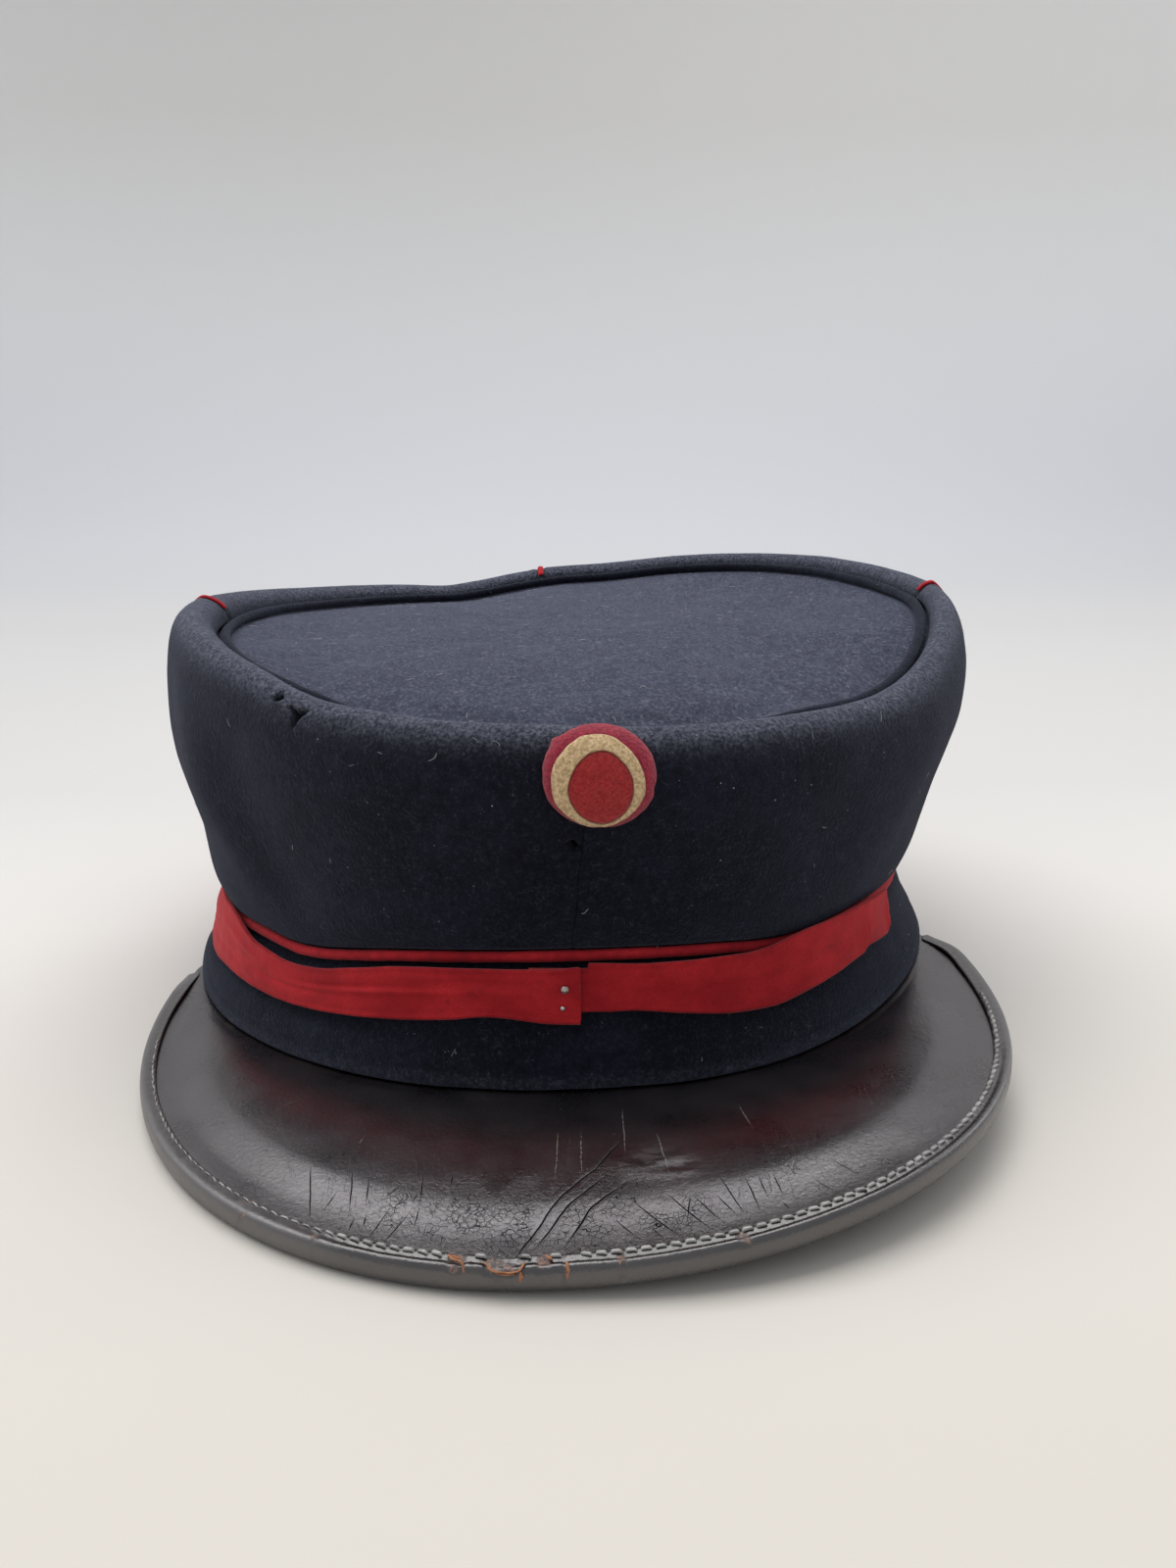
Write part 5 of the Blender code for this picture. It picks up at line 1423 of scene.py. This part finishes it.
def wool_finish(name, low, high, raised, dust, sheen, stretch=(1.0, 1.0, 1.0)):
    """Navy felted wool: a short nap, mottled, with pale dust and curled hairs in it."""
    f = Finish(name)
    patches = f.between(f.noise(16.0, 4.0, 0.6), 0.35, 0.7)
    where = f.squeezed(stretch)
    nap = f.noise(0.65, 5.0, 0.72, where=where)
    clumps = f.noise(1.9, 3.0, 0.6, where=where)
    colour = f.blend(patches, low, high)
    colour = f.blend(f.between(nap, 0.44, 0.72), colour, raised)
    colour = f.blend(f.between(clumps, 0.50, 0.30, 0.0, 0.55), colour, tuple(c * 0.45 for c in low))
    # Pale rubbed nap where the rim and top are marked: rubbed wear, and a painted highlight of the light from above.
    rubbed = f.blend(f.between(nap, 0.36, 0.70), (0.028, 0.032, 0.051), (0.175, 0.184, 0.230))
    colour = f.blend(f.math("MULTIPLY", f.attribute("wear_and_highlight"), f.between(clumps, 0.15, 0.75, 0.45, 0.95), clamp=True), colour, rubbed)
    pale = f.math("MULTIPLY", f.between(nap, 0.54, 0.70), f.between(f.noise(7.0, 3.0, 0.6), 0.35, 0.75))
    colour = f.blend(f.math("MULTIPLY", pale, dust, clamp=True), colour, (0.130, 0.138, 0.175))
    smudge = f.between(f.noise(3.6, 5.0, 0.68, 0.6), 0.56, 0.70)
    colour = f.blend(f.math("MULTIPLY", smudge, dust * 0.45), colour, (0.130, 0.136, 0.168))
    curls = f.math("ABSOLUTE", f.math("SUBTRACT", f.noise(3.4, 2.0, 0.5, 1.6, where=where), 0.5))
    curls = f.math("MULTIPLY", f.between(curls, 0.009, 0.0), f.between(clumps, 0.52, 0.62))
    colour = f.blend(f.math("MULTIPLY", curls, 0.18 + dust * 0.6), colour, (0.22, 0.23, 0.27))
    specks = f.between(f.cells(2.2, where=where), 0.085, 0.04)
    specks = f.math("MULTIPLY", specks, f.between(clumps, 0.56, 0.62))
    colour = f.blend(specks, colour, (0.26, 0.26, 0.28))
    # Painted shade along the seams.
    colour = f.blend(f.math("MULTIPLY", f.attribute("seam_shade"), 0.85, clamp=True), colour, (0.0015, 0.0018, 0.003))
    # Painted shade: the moth holes are shallow dips coloured near black, for the dark inside of the cap seen through
    # them.
    colour = f.blend(f.attribute("hole"), colour, (0.0006, 0.0006, 0.0008))
    relief = f.math("ADD", f.math("MULTIPLY", nap, 0.82), f.math("MULTIPLY", clumps, 0.18))
    f.set(Base_Color=colour, Roughness=0.95, Normal=f.bump(relief, 0.50, 1.0))
    f.set(Specular_IOR_Level=0.12, Sheen_Weight=sheen, Sheen_Roughness=0.42, Sheen_Tint=(0.46, 0.49, 0.66))
    return f.material


def fibre_finish(name, colour, sheen):
    f = Finish(name)
    mottled = f.blend(f.noise(0.8, 2.0), tuple(c * 0.6 for c in colour), tuple(min(1.0, c * 1.4) for c in colour))
    f.set(Base_Color=mottled, Roughness=0.8, Specular_IOR_Level=0.25, Sheen_Weight=sheen, Sheen_Roughness=0.4)
    f.set(Normal=f.bump(f.noise(0.05, 1.0), 0.02, 0.5))
    return f.material


def red_finish(name, low, high, stained):
    """Red wool cloth or tape, plain woven and rubbed, with a few darker stains."""
    f = Finish(name)
    patches = f.between(f.noise(11.0, 4.0, 0.6), 0.32, 0.70)
    colour = f.blend(patches, low, high)
    thread = f.noise(0.28, 3.0, 0.6)
    colour = f.blend(f.between(thread, 0.30, 0.75, 0.0, 0.5), colour, tuple(c * 0.55 for c in low))
    if stained:
        stain = f.math("MULTIPLY", f.between(f.noise(6.0, 5.0, 0.65, 0.8), 0.56, 0.74), stained)
        colour = f.blend(stain, colour, (low[0] * 0.35, low[1] * 0.5, low[2] * 0.6))
        edge = f.math("ABSOLUTE", f.math("SUBTRACT", f.attribute("across"), 0.5))
        soiled = f.math("MULTIPLY", f.between(edge, 0.40, 0.5), f.between(f.noise(2.0, 3.0), 0.35, 0.7))
        colour = f.blend(f.math("MULTIPLY", soiled, 0.35), colour, (low[0] * 0.4, low[1] * 0.5, low[2] * 0.6))
    weave = f.math("ADD", f.math("MULTIPLY", thread, 0.5), f.math("MULTIPLY", f.noise(0.9, 3.0, 0.6), 0.5))
    f.set(Base_Color=colour, Roughness=0.85, Specular_IOR_Level=0.2, Normal=f.bump(weave, 0.14, 0.8))
    f.set(Sheen_Weight=0.40, Sheen_Roughness=0.4, Sheen_Tint=(1.0, 0.30, 0.32))
    return f.material


def leather_finish():
    """Black leather: fine grain, crackle near the edge, long cracks, pale scratches and a dark red tint."""
    f = Finish("leather")
    cracks = pale = None
    for k in range(len(marks_apart(long_marks() + short_marks(), 2.8))):
        mark = f.mark(f"crack_{k}")
        cracks = mark if cracks is None else f.math("MAXIMUM", cracks, mark)
    for k in range(len(marks_apart(pale_marks(), 2.8))):
        mark = f.mark(f"scratch_{k}")
        pale = mark if pale is None else f.math("MAXIMUM", pale, mark)
    large = f.noise(14.0, 4.0, 0.55)
    middle = f.noise(5.0, 4.0, 0.6)
    fine = f.noise(0.9, 3.0, 0.6)
    colour = f.blend(f.between(large, 0.3, 0.7), (0.0045, 0.0036, 0.0042), (0.0110, 0.0092, 0.0104))
    tint = f.math("MULTIPLY", f.attribute("tint"), f.between(middle, 0.30, 0.68))
    colour = f.blend(f.math("MULTIPLY", tint, 0.50), colour, (0.030, 0.0085, 0.0098))
    bent = f.vector("ADD", f.where, f.vector("SCALE", f.vector("SUBTRACT", f.wander(1.1), (0.5, 0.5, 0.5)), scale=0.0007))
    net = f.between(f.cells(1.15, "DISTANCE_TO_EDGE", where=bent), 0.050, 0.0)
    net_fine = f.between(f.cells(0.65, "DISTANCE_TO_EDGE", where=bent), 0.060, 0.0)
    net = f.math("MAXIMUM", net, f.math("MULTIPLY", net_fine, 0.45))
    net = f.math("MULTIPLY", net, f.math("MULTIPLY", f.attribute("crackle"), f.between(middle, 0.30, 0.52)))
    cracks = f.math("MAXIMUM", cracks, f.math("MULTIPLY", net, 0.60))
    fan = f.noise(2.2, 3.0, 0.55, 0.4, where=f.squeezed((1.0, 0.10, 0.10)))
    fan = f.between(f.math("ABSOLUTE", f.math("SUBTRACT", fan, 0.5)), 0.006, 0.0)
    fan = f.math("MULTIPLY", fan, f.attribute("fan"))
    cracks = f.math("MAXIMUM", cracks, f.math("MULTIPLY", fan, 0.28))
    colour = f.blend(f.between(cracks, 0.10, 0.50), colour, (0.0012, 0.0010, 0.0010))
    hair = f.noise(7.0, 2.0, 0.5, 1.4, where=f.squeezed((1.0, 0.35, 1.0), 18.0))
    hair = f.between(f.math("ABSOLUTE", f.math("SUBTRACT", hair, 0.5)), 0.0016, 0.0)
    hair = f.math("MULTIPLY", hair, f.between(middle, 0.48, 0.62))
    rubbed = f.between(f.noise(1.3, 4.0, 0.7, 0.0, f.squeezed((0.35, 1.0, 1.0))), 0.42, 0.62)
    scuff = f.math("MULTIPLY", f.attribute("scuff"), rubbed)
    colour = f.blend(f.math("MULTIPLY", scuff, 0.40), colour, (0.080, 0.073, 0.070))
    colour = f.blend(f.math("MULTIPLY", f.math("MULTIPLY", pale, f.between(fine, 0.36, 0.58)), 0.80), colour, (0.34, 0.33, 0.28))
    colour = f.blend(f.math("MULTIPLY", hair, 0.28), colour, (0.10, 0.095, 0.09))
    dust = f.math("MULTIPLY", f.between(f.cells(3.1), 0.040, 0.022), f.between(middle, 0.52, 0.58))
    colour = f.blend(dust, colour, (0.32, 0.31, 0.28))
    rough = f.math("MULTIPLY_ADD", f.between(large, 0.25, 0.75), 0.08, 0.21)
    rough = f.math("ADD", rough, f.math("MULTIPLY", fine, 0.10))
    rough = f.math("ADD", rough, f.math("MULTIPLY", scuff, 0.15))
    rough = f.math("ADD", rough, f.math("MULTIPLY", f.between(cracks, 0.1, 0.5), 0.45), clamp=True)
    skin = f.math("ADD", f.math("MULTIPLY", f.noise(0.45, 4.0, 0.6), 0.65), f.math("MULTIPLY", f.cells(0.9), 0.35))
    normal = f.bump(skin, 0.060, 0.9)
    normal = f.bump(f.math("SUBTRACT", 1.0, cracks), 0.10, 0.9, normal)
    f.set(Base_Color=colour, Roughness=rough, Normal=normal, IOR=1.72, Specular_Tint=(1.0, 0.95, 0.99))
    f.set(Specular_IOR_Level=f.math("MULTIPLY_ADD", f.between(cracks, 0.08, 0.45), -0.95, 1.0))
    return f.material


def binding_finish():
    """Binding leather, rubbed shiny on the roll and torn to its tan inside in places."""
    f = Finish("binding")
    grain = f.noise(0.35, 4.0, 0.6)
    large = f.noise(8.0, 4.0, 0.6)
    colour = f.blend(f.between(large, 0.3, 0.7), (0.0075, 0.0070, 0.0072), (0.0165, 0.0155, 0.0152))
    # Towards the binding's ends the leather is coloured lighter grey, a painted sheen, and made rougher, as rubbed
    # dull.
    colour = f.blend(f.math("MULTIPLY", f.attribute("dull_and_sheen"), f.between(large, 0.1, 0.7, 0.6, 1.0)), colour, (0.052, 0.049, 0.050))
    chips = f.math("MULTIPLY", f.between(f.noise(0.9, 4.0, 0.7), 0.66, 0.72), f.between(f.noise(9.0, 2.0), 0.55, 0.68))
    colour = f.blend(f.math("MULTIPLY", chips, 0.5), colour, (0.10, 0.055, 0.035))
    tear = f.math("MULTIPLY", f.attribute("tear"), f.between(f.noise(0.7, 4.0, 0.7), 0.38, 0.62))
    inside = f.blend(f.between(f.noise(0.6, 3.0, 0.7), 0.35, 0.65), (0.055, 0.020, 0.011), (0.26, 0.115, 0.062))
    colour = f.blend(f.between(tear, 0.25, 0.65), colour, inside)
    rough = f.math("MULTIPLY_ADD", f.between(large, 0.3, 0.7), 0.10, 0.15)
    rough = f.math("ADD", rough, f.math("MULTIPLY", f.noise(0.8, 3.0, 0.7), 0.10))
    rough = f.math("ADD", rough, f.math("MULTIPLY", f.attribute("dull_and_sheen"), 0.12))
    rough = f.math("ADD", rough, f.math("MULTIPLY", f.attribute("tear"), 0.4), clamp=True)
    wrinkle = f.noise(0.9, 3.0, 0.6, 0.3)
    normal = f.bump(grain, 0.05, 0.8)
    normal = f.bump(wrinkle, 0.10, 0.6, normal)
    f.set(Base_Color=colour, Roughness=rough, Normal=normal, Specular_IOR_Level=0.9, IOR=1.70, Specular_Tint=(1.0, 0.96, 0.97))
    return f.material


def thread_finish():
    f = Finish("thread")
    twist = f.noise(0.25, 2.0, 0.5)
    # The stitches are coloured pale grey: a painted highlight, where the binding's puckers catch the light.
    colour = f.blend(f.between(f.noise(4.0, 2.0), 0.35, 0.7), (0.170, 0.163, 0.158), (0.380, 0.365, 0.350))
    f.set(Base_Color=colour, Roughness=0.26, Specular_IOR_Level=1.0, Normal=f.bump(twist, 0.06, 0.8))
    return f.material


def felt_finish(name, low, high, speck):
    """Felt: a mottled, granular nap of wool fibres."""
    f = Finish(name)
    clump = f.noise(0.55, 4.0, 0.7)
    fine = f.noise(0.22, 3.0, 0.6)
    colour = f.blend(f.between(clump, 0.36, 0.64), low, high)
    colour = f.blend(f.between(fine, 0.55, 0.75, 0.0, 0.6), colour, speck)
    colour = f.blend(f.between(f.noise(3.0, 3.0, 0.6), 0.55, 0.8, 0.0, 0.35), colour, tuple(c * 0.5 for c in low))
    relief = f.math("ADD", f.math("MULTIPLY", clump, 0.7), f.math("MULTIPLY", fine, 0.3))
    f.set(Base_Color=colour, Roughness=0.95, Specular_IOR_Level=0.15, Normal=f.bump(relief, 0.60, 1.0))
    f.set(Sheen_Weight=0.3, Sheen_Roughness=0.5, Sheen_Tint=(1.0, 0.85, 0.8))
    return f.material


def steel_finish():
    f = Finish("steel")
    tarnish = f.between(f.noise(0.4, 3.0), 0.35, 0.7)
    colour = f.blend(tarnish, (0.62, 0.60, 0.57), (0.30, 0.24, 0.20))
    f.set(Base_Color=colour, Metallic=1.0, Roughness=f.math("MULTIPLY_ADD", tarnish, 0.25, 0.22))
    f.set(Normal=f.bump(f.noise(0.15, 2.0), 0.02, 0.5))
    return f.material


WOOL = wool_finish("wool", (0.0046, 0.0050, 0.0092), (0.0092, 0.0108, 0.0205), (0.0165, 0.0190, 0.0340), 0.12, 0.25)
# The top's wool has about four times the wall's colour values: painted light, a lit copy of the wool for the top that
# faces the lamps above. Its dust share of 1.0 is dust and lint.
WOOL_TOP = wool_finish("wool_top", (0.020, 0.023, 0.041), (0.035, 0.039, 0.064), (0.086, 0.091, 0.130), 1.0, 0.35, (1.0, 0.5, 1.0))
WOOL_FIBRE = fibre_finish("wool_fibre", (0.042, 0.048, 0.078), 0.3)
# Pale fibres for the rim's crest and the top: rubbed wool, and painted highlights on fibre tips lit from above.
RUBBED_AND_LIT_FIBRE = fibre_finish("rubbed_and_lit_fibre", (0.23, 0.24, 0.29), 0.3)
LINT_FINISH = fibre_finish("lint_finish", (0.42, 0.42, 0.45), 0.0)
RED_WOOL = red_finish("red_wool", (0.42, 0.014, 0.022), (0.62, 0.026, 0.036), 0.3)
RED_TAPE = red_finish("red_tape", (0.38, 0.011, 0.017), (0.56, 0.021, 0.028), 0.45)
RED_THREAD = fibre_finish("red_thread", (0.45, 0.02, 0.03), 0.2)
LEATHER_FINISH = leather_finish()
BINDING_FINISH = binding_finish()
THREAD = thread_finish()
TORN = fibre_finish("torn", (0.38, 0.165, 0.085), 0.0)
CRIMSON_FELT = felt_finish("crimson_felt", (0.24, 0.014, 0.036), (0.46, 0.034, 0.070), (0.60, 0.08, 0.13))
RED_FELT = felt_finish("red_felt", (0.34, 0.016, 0.022), (0.50, 0.040, 0.040), (0.62, 0.12, 0.10))
TAN_FELT = felt_finish("tan_felt", (0.50, 0.33, 0.16), (0.90, 0.66, 0.38), (0.97, 0.82, 0.58))
CRIMSON_FUZZ = fibre_finish("crimson_fuzz", (0.50, 0.03, 0.07), 0.3)
TAN_FUZZ = fibre_finish("tan_fuzz", (0.66, 0.52, 0.32), 0.3)
STEEL = steel_finish()


# ---------------------------------------------------------------- build
crown_wall, wall_face, wall_azimuth = make_crown_wall()
crown_top, top_face, _ = make_crown_top()
make_top_welt()
band_face, band_azimuth = make_head_band()
make_waist_cord()
ribbon_long, ribbon_short = make_ribbons()
make_pipings()
make_peak()
make_binding()
discs = make_cockade()
make_tacks()

rng = np.random.default_rng(11)


def outward(grid):
    n = grid_normals(grid, False, True)
    middle = grid[len(grid) // 3]
    if (n[len(grid) // 3] * middle * [1, 1, 0]).sum() < 0:
        n = -n
    return n


wall_normals = outward(wall_face)
crest_share = np.exp(-(((wall_face[..., 2] - around(RIM, 1, wall_azimuth)) / 4.8) ** 2))
p, n = scatter(wall_face, wall_normals, 9000, rng, 0.35 + 1.3 * crest_share)
make_fibres("crown_wall_nap", p, n, 0.22, 0.75, 0.020, 1.1, rng, WOOL_FIBRE)
# Pale fibres crowded on the crest: rubbed wool and a painted highlight.
p, n = scatter(wall_face, wall_normals, 9000, rng, crest_share**2 + 0.004)
make_fibres("crown_rim_nap", p, n, 0.16, 0.50, 0.018, 0.9, rng, RUBBED_AND_LIT_FIBRE)
top_normals = grid_normals(top_face, False, True)
top_normals *= np.sign(top_normals[..., 2:].mean())
p, n = scatter(top_face, top_normals, 15000, rng)
make_fibres("crown_top_nap", p, n, 0.22, 0.70, 0.022, 1.0, rng, RUBBED_AND_LIT_FIBRE)
band_normals = outward(band_face)
showing = (band_face[..., 2] > around(FOOT, 1, band_azimuth) + 0.8) & (band_face[..., 2] < around(WAIST, 3, band_azimuth))
p, n = scatter(band_face, band_normals, 4000, rng, showing * 1.0 + 1e-6)
make_fibres("head_band_nap", p, n, 0.20, 0.60, 0.020, 1.2, rng, WOOL_FIBRE)

for disc, finish, count in (("cockade_base", CRIMSON_FUZZ, 1500), ("cockade_ring", TAN_FUZZ, 1300), ("cockade_centre", CRIMSON_FUZZ, 900)):
    face, normals = discs[disc]
    p, n = scatter(face, normals, count, rng)
    make_fibres(disc + "_nap", p, n, 0.18, 0.55, 0.020, 1.0, rng, finish)

places = []
for where, azimuth, height, size in LINT:
    if where == "top":
        p = top_surface(azimuth, height)
        places.append((p + [0, 0, 0.2], np.array([0.0, 0.0, 1.0]), size))
        continue
    face, normals, columns = (wall_face, wall_normals, wall_azimuth) if where == "wall" else (band_face, band_normals, band_azimuth)
    j = int(np.argmin(np.abs(around_from(columns, azimuth))))
    i = int(np.argmin(np.abs(face[: len(face) * 2 // 3, j, 2] - height)))
    places.append((face[i, j], normals[i, j], size))
for face, normals, count, weight in (
    (wall_face, wall_normals, 190, 0.5 + crest_share), (top_face, top_normals, 900, None), (band_face, band_normals, 50, showing * 1.0 + 1e-6)
):
    p, n = scatter(face, normals, count, rng, weight)
    for k in range(count):
        places.append((p[k], n[k], rng.uniform(0.7, 2.2) if rng.random() < 0.35 else 0.09 + 0.26 * rng.random() ** 2.5))
make_lint("lint_on_cloth", places, rng, LINT_FINISH)

# ---------------------------------------------------------------- floor and backdrop
def make_stage():
    """A pale floor that curves up into the backdrop, far behind the cap."""
    profile = [(y, 0.0) for y in np.linspace(-1.4, 0.9, 16)]
    for k in range(1, 25):
        a = math.pi / 2 * k / 24
        profile.append((0.9 + 0.75 * math.sin(a), 0.75 * (1 - math.cos(a))))
    profile += [(1.65, 1.3), (1.65, 2.4)]
    xs = np.linspace(-3.6, 3.6, 25)
    points = [(x, y, z) for y, z in profile for x in xs]
    faces = [tuple(int(v) for v in f) for f in quads(len(profile), len(xs), False, False)]
    mesh = bpy.data.meshes.new("floor")
    mesh.from_pydata(points, [], faces)
    mesh.update()
    mesh.shade_smooth()
    floor = bpy.data.objects.new("floor", mesh)
    bpy.context.scene.collection.objects.link(floor)
    f = Finish("floor_finish")
    run = f.math("ADD", f.axis(1), f.axis(2))
    colour = FLOOR_COLOURS[0][1]
    for (a, _), (b, tone) in zip(FLOOR_COLOURS, FLOOR_COLOURS[1:]):
        colour = f.blend(f.between(run, a, b, smooth=False), colour, tone)
    # Painted shade: the floor darker towards the left, where the key light falls on it too strongly.
    aside = f.math("MULTIPLY", f.between(f.axis(0), -0.06, -0.30), f.between(run, -0.06, 0.16))
    aside = f.math("MULTIPLY", aside, f.between(run, 1.1, 0.5))
    colour = f.blend(f.math("MULTIPLY", aside, 0.20), colour, (0.45, 0.445, 0.45))
    wide = f.math("MULTIPLY", f.math("MULTIPLY", f.axis(0), f.axis(0)), f.between(run, 1.15, 2.1))
    colour = f.vector("SCALE", colour, scale=f.math("MULTIPLY_ADD", wide, 0.34, 1.0))
    colour = f.blend(f.between(f.noise(40.0, 4.0, 0.6), 0.3, 0.7, 0.0, 0.03), colour, (0.6, 0.57, 0.53))
    f.set(Base_Color=colour, Roughness=0.75, Specular_IOR_Level=0.2)
    f.set(Normal=f.bump(f.noise(0.8, 3.0), 0.03, 0.3))
    mesh.materials.append(f.material)
    return floor


def area_light(name, place, aim, wide, tall, power, colour):
    data = bpy.data.lights.new(name, "AREA")
    data.shape, data.size, data.size_y = "RECTANGLE", wide, tall
    data.energy, data.color = power, colour
    light = bpy.data.objects.new(name, data)
    light.location = place
    away = Vector(place) - Vector(aim)
    light.rotation_mode = "QUATERNION"
    light.rotation_quaternion = away.to_track_quat("Z", "Y")
    bpy.context.scene.collection.objects.link(light)
    return light


# Painted light and shade of the floor and backdrop: their tone, by the distance back and up (m)
FLOOR_COLOURS = [
    (-0.30, (0.660, 0.615, 0.550)), (-0.15, (0.690, 0.648, 0.592)), (-0.08, (0.733, 0.694, 0.645)), (0.03, (0.748, 0.723, 0.692)),
    (0.17, (0.635, 0.621, 0.609)), (0.34, (0.600, 0.590, 0.583)), (0.62, (0.582, 0.574, 0.574)),
    (1.14, (0.625, 0.634, 0.661)), (1.48, (0.632, 0.642, 0.670)), (1.80, (0.655, 0.66, 0.67)), (2.20, (0.672, 0.66, 0.645)), (2.38, (0.73, 0.715, 0.70)),
]
make_stage()
area_light("key_above", (-0.15, 0.40, 1.30), (0.0, 0.02, 0.05), 1.8, 1.2, 18.5, (1.0, 0.99, 0.975))
area_light("fill_left", (-1.20, 0.10, 0.75), (0.0, 0.0, 0.04), 0.9, 0.9, 1.8, (0.95, 0.97, 1.0))
area_light("fill_right", (1.20, 0.35, 0.75), (0.0, 0.0, 0.04), 0.8, 0.8, 1.8, (0.97, 0.98, 1.0))
world = bpy.context.scene.world or bpy.data.worlds.new("studio")
bpy.context.scene.world = world
world.use_nodes = True
world.node_tree.nodes["Background"].inputs["Color"].default_value = (0.93, 0.96, 1.0, 1.0)
world.node_tree.nodes["Background"].inputs["Strength"].default_value = 0.50
bpy.context.scene.view_settings.view_transform = "Standard"

# ---------------------------------------------------------------- camera
turn, pitch = math.radians(2.5), math.radians(14.25)
swing = np.array([[math.cos(turn), math.sin(turn), 0], [-math.sin(turn), math.cos(turn), 0], [0, 0, 1]])
eye = (swing @ np.array([6.15, -300.4, 114.3]) + SHIFT) * MM
ahead = swing @ np.array([0.0, math.cos(pitch), -math.sin(pitch)])
right = swing @ np.array([1.0, 0.0, 0.0])
above = np.cross(right, ahead)
data = bpy.data.cameras.new("camera")
data.sensor_width, data.lens = 36.0, 36.0 * 1300.0 / 1600.0
data.clip_start = 0.005
camera = bpy.data.objects.new("camera", data)
camera.matrix_world = Matrix([
    [right[0], above[0], -ahead[0], eye[0]],
    [right[1], above[1], -ahead[1], eye[1]],
    [right[2], above[2], -ahead[2], eye[2]],
    [0, 0, 0, 1],
])
bpy.context.scene.collection.objects.link(camera)
bpy.context.scene.camera = camera
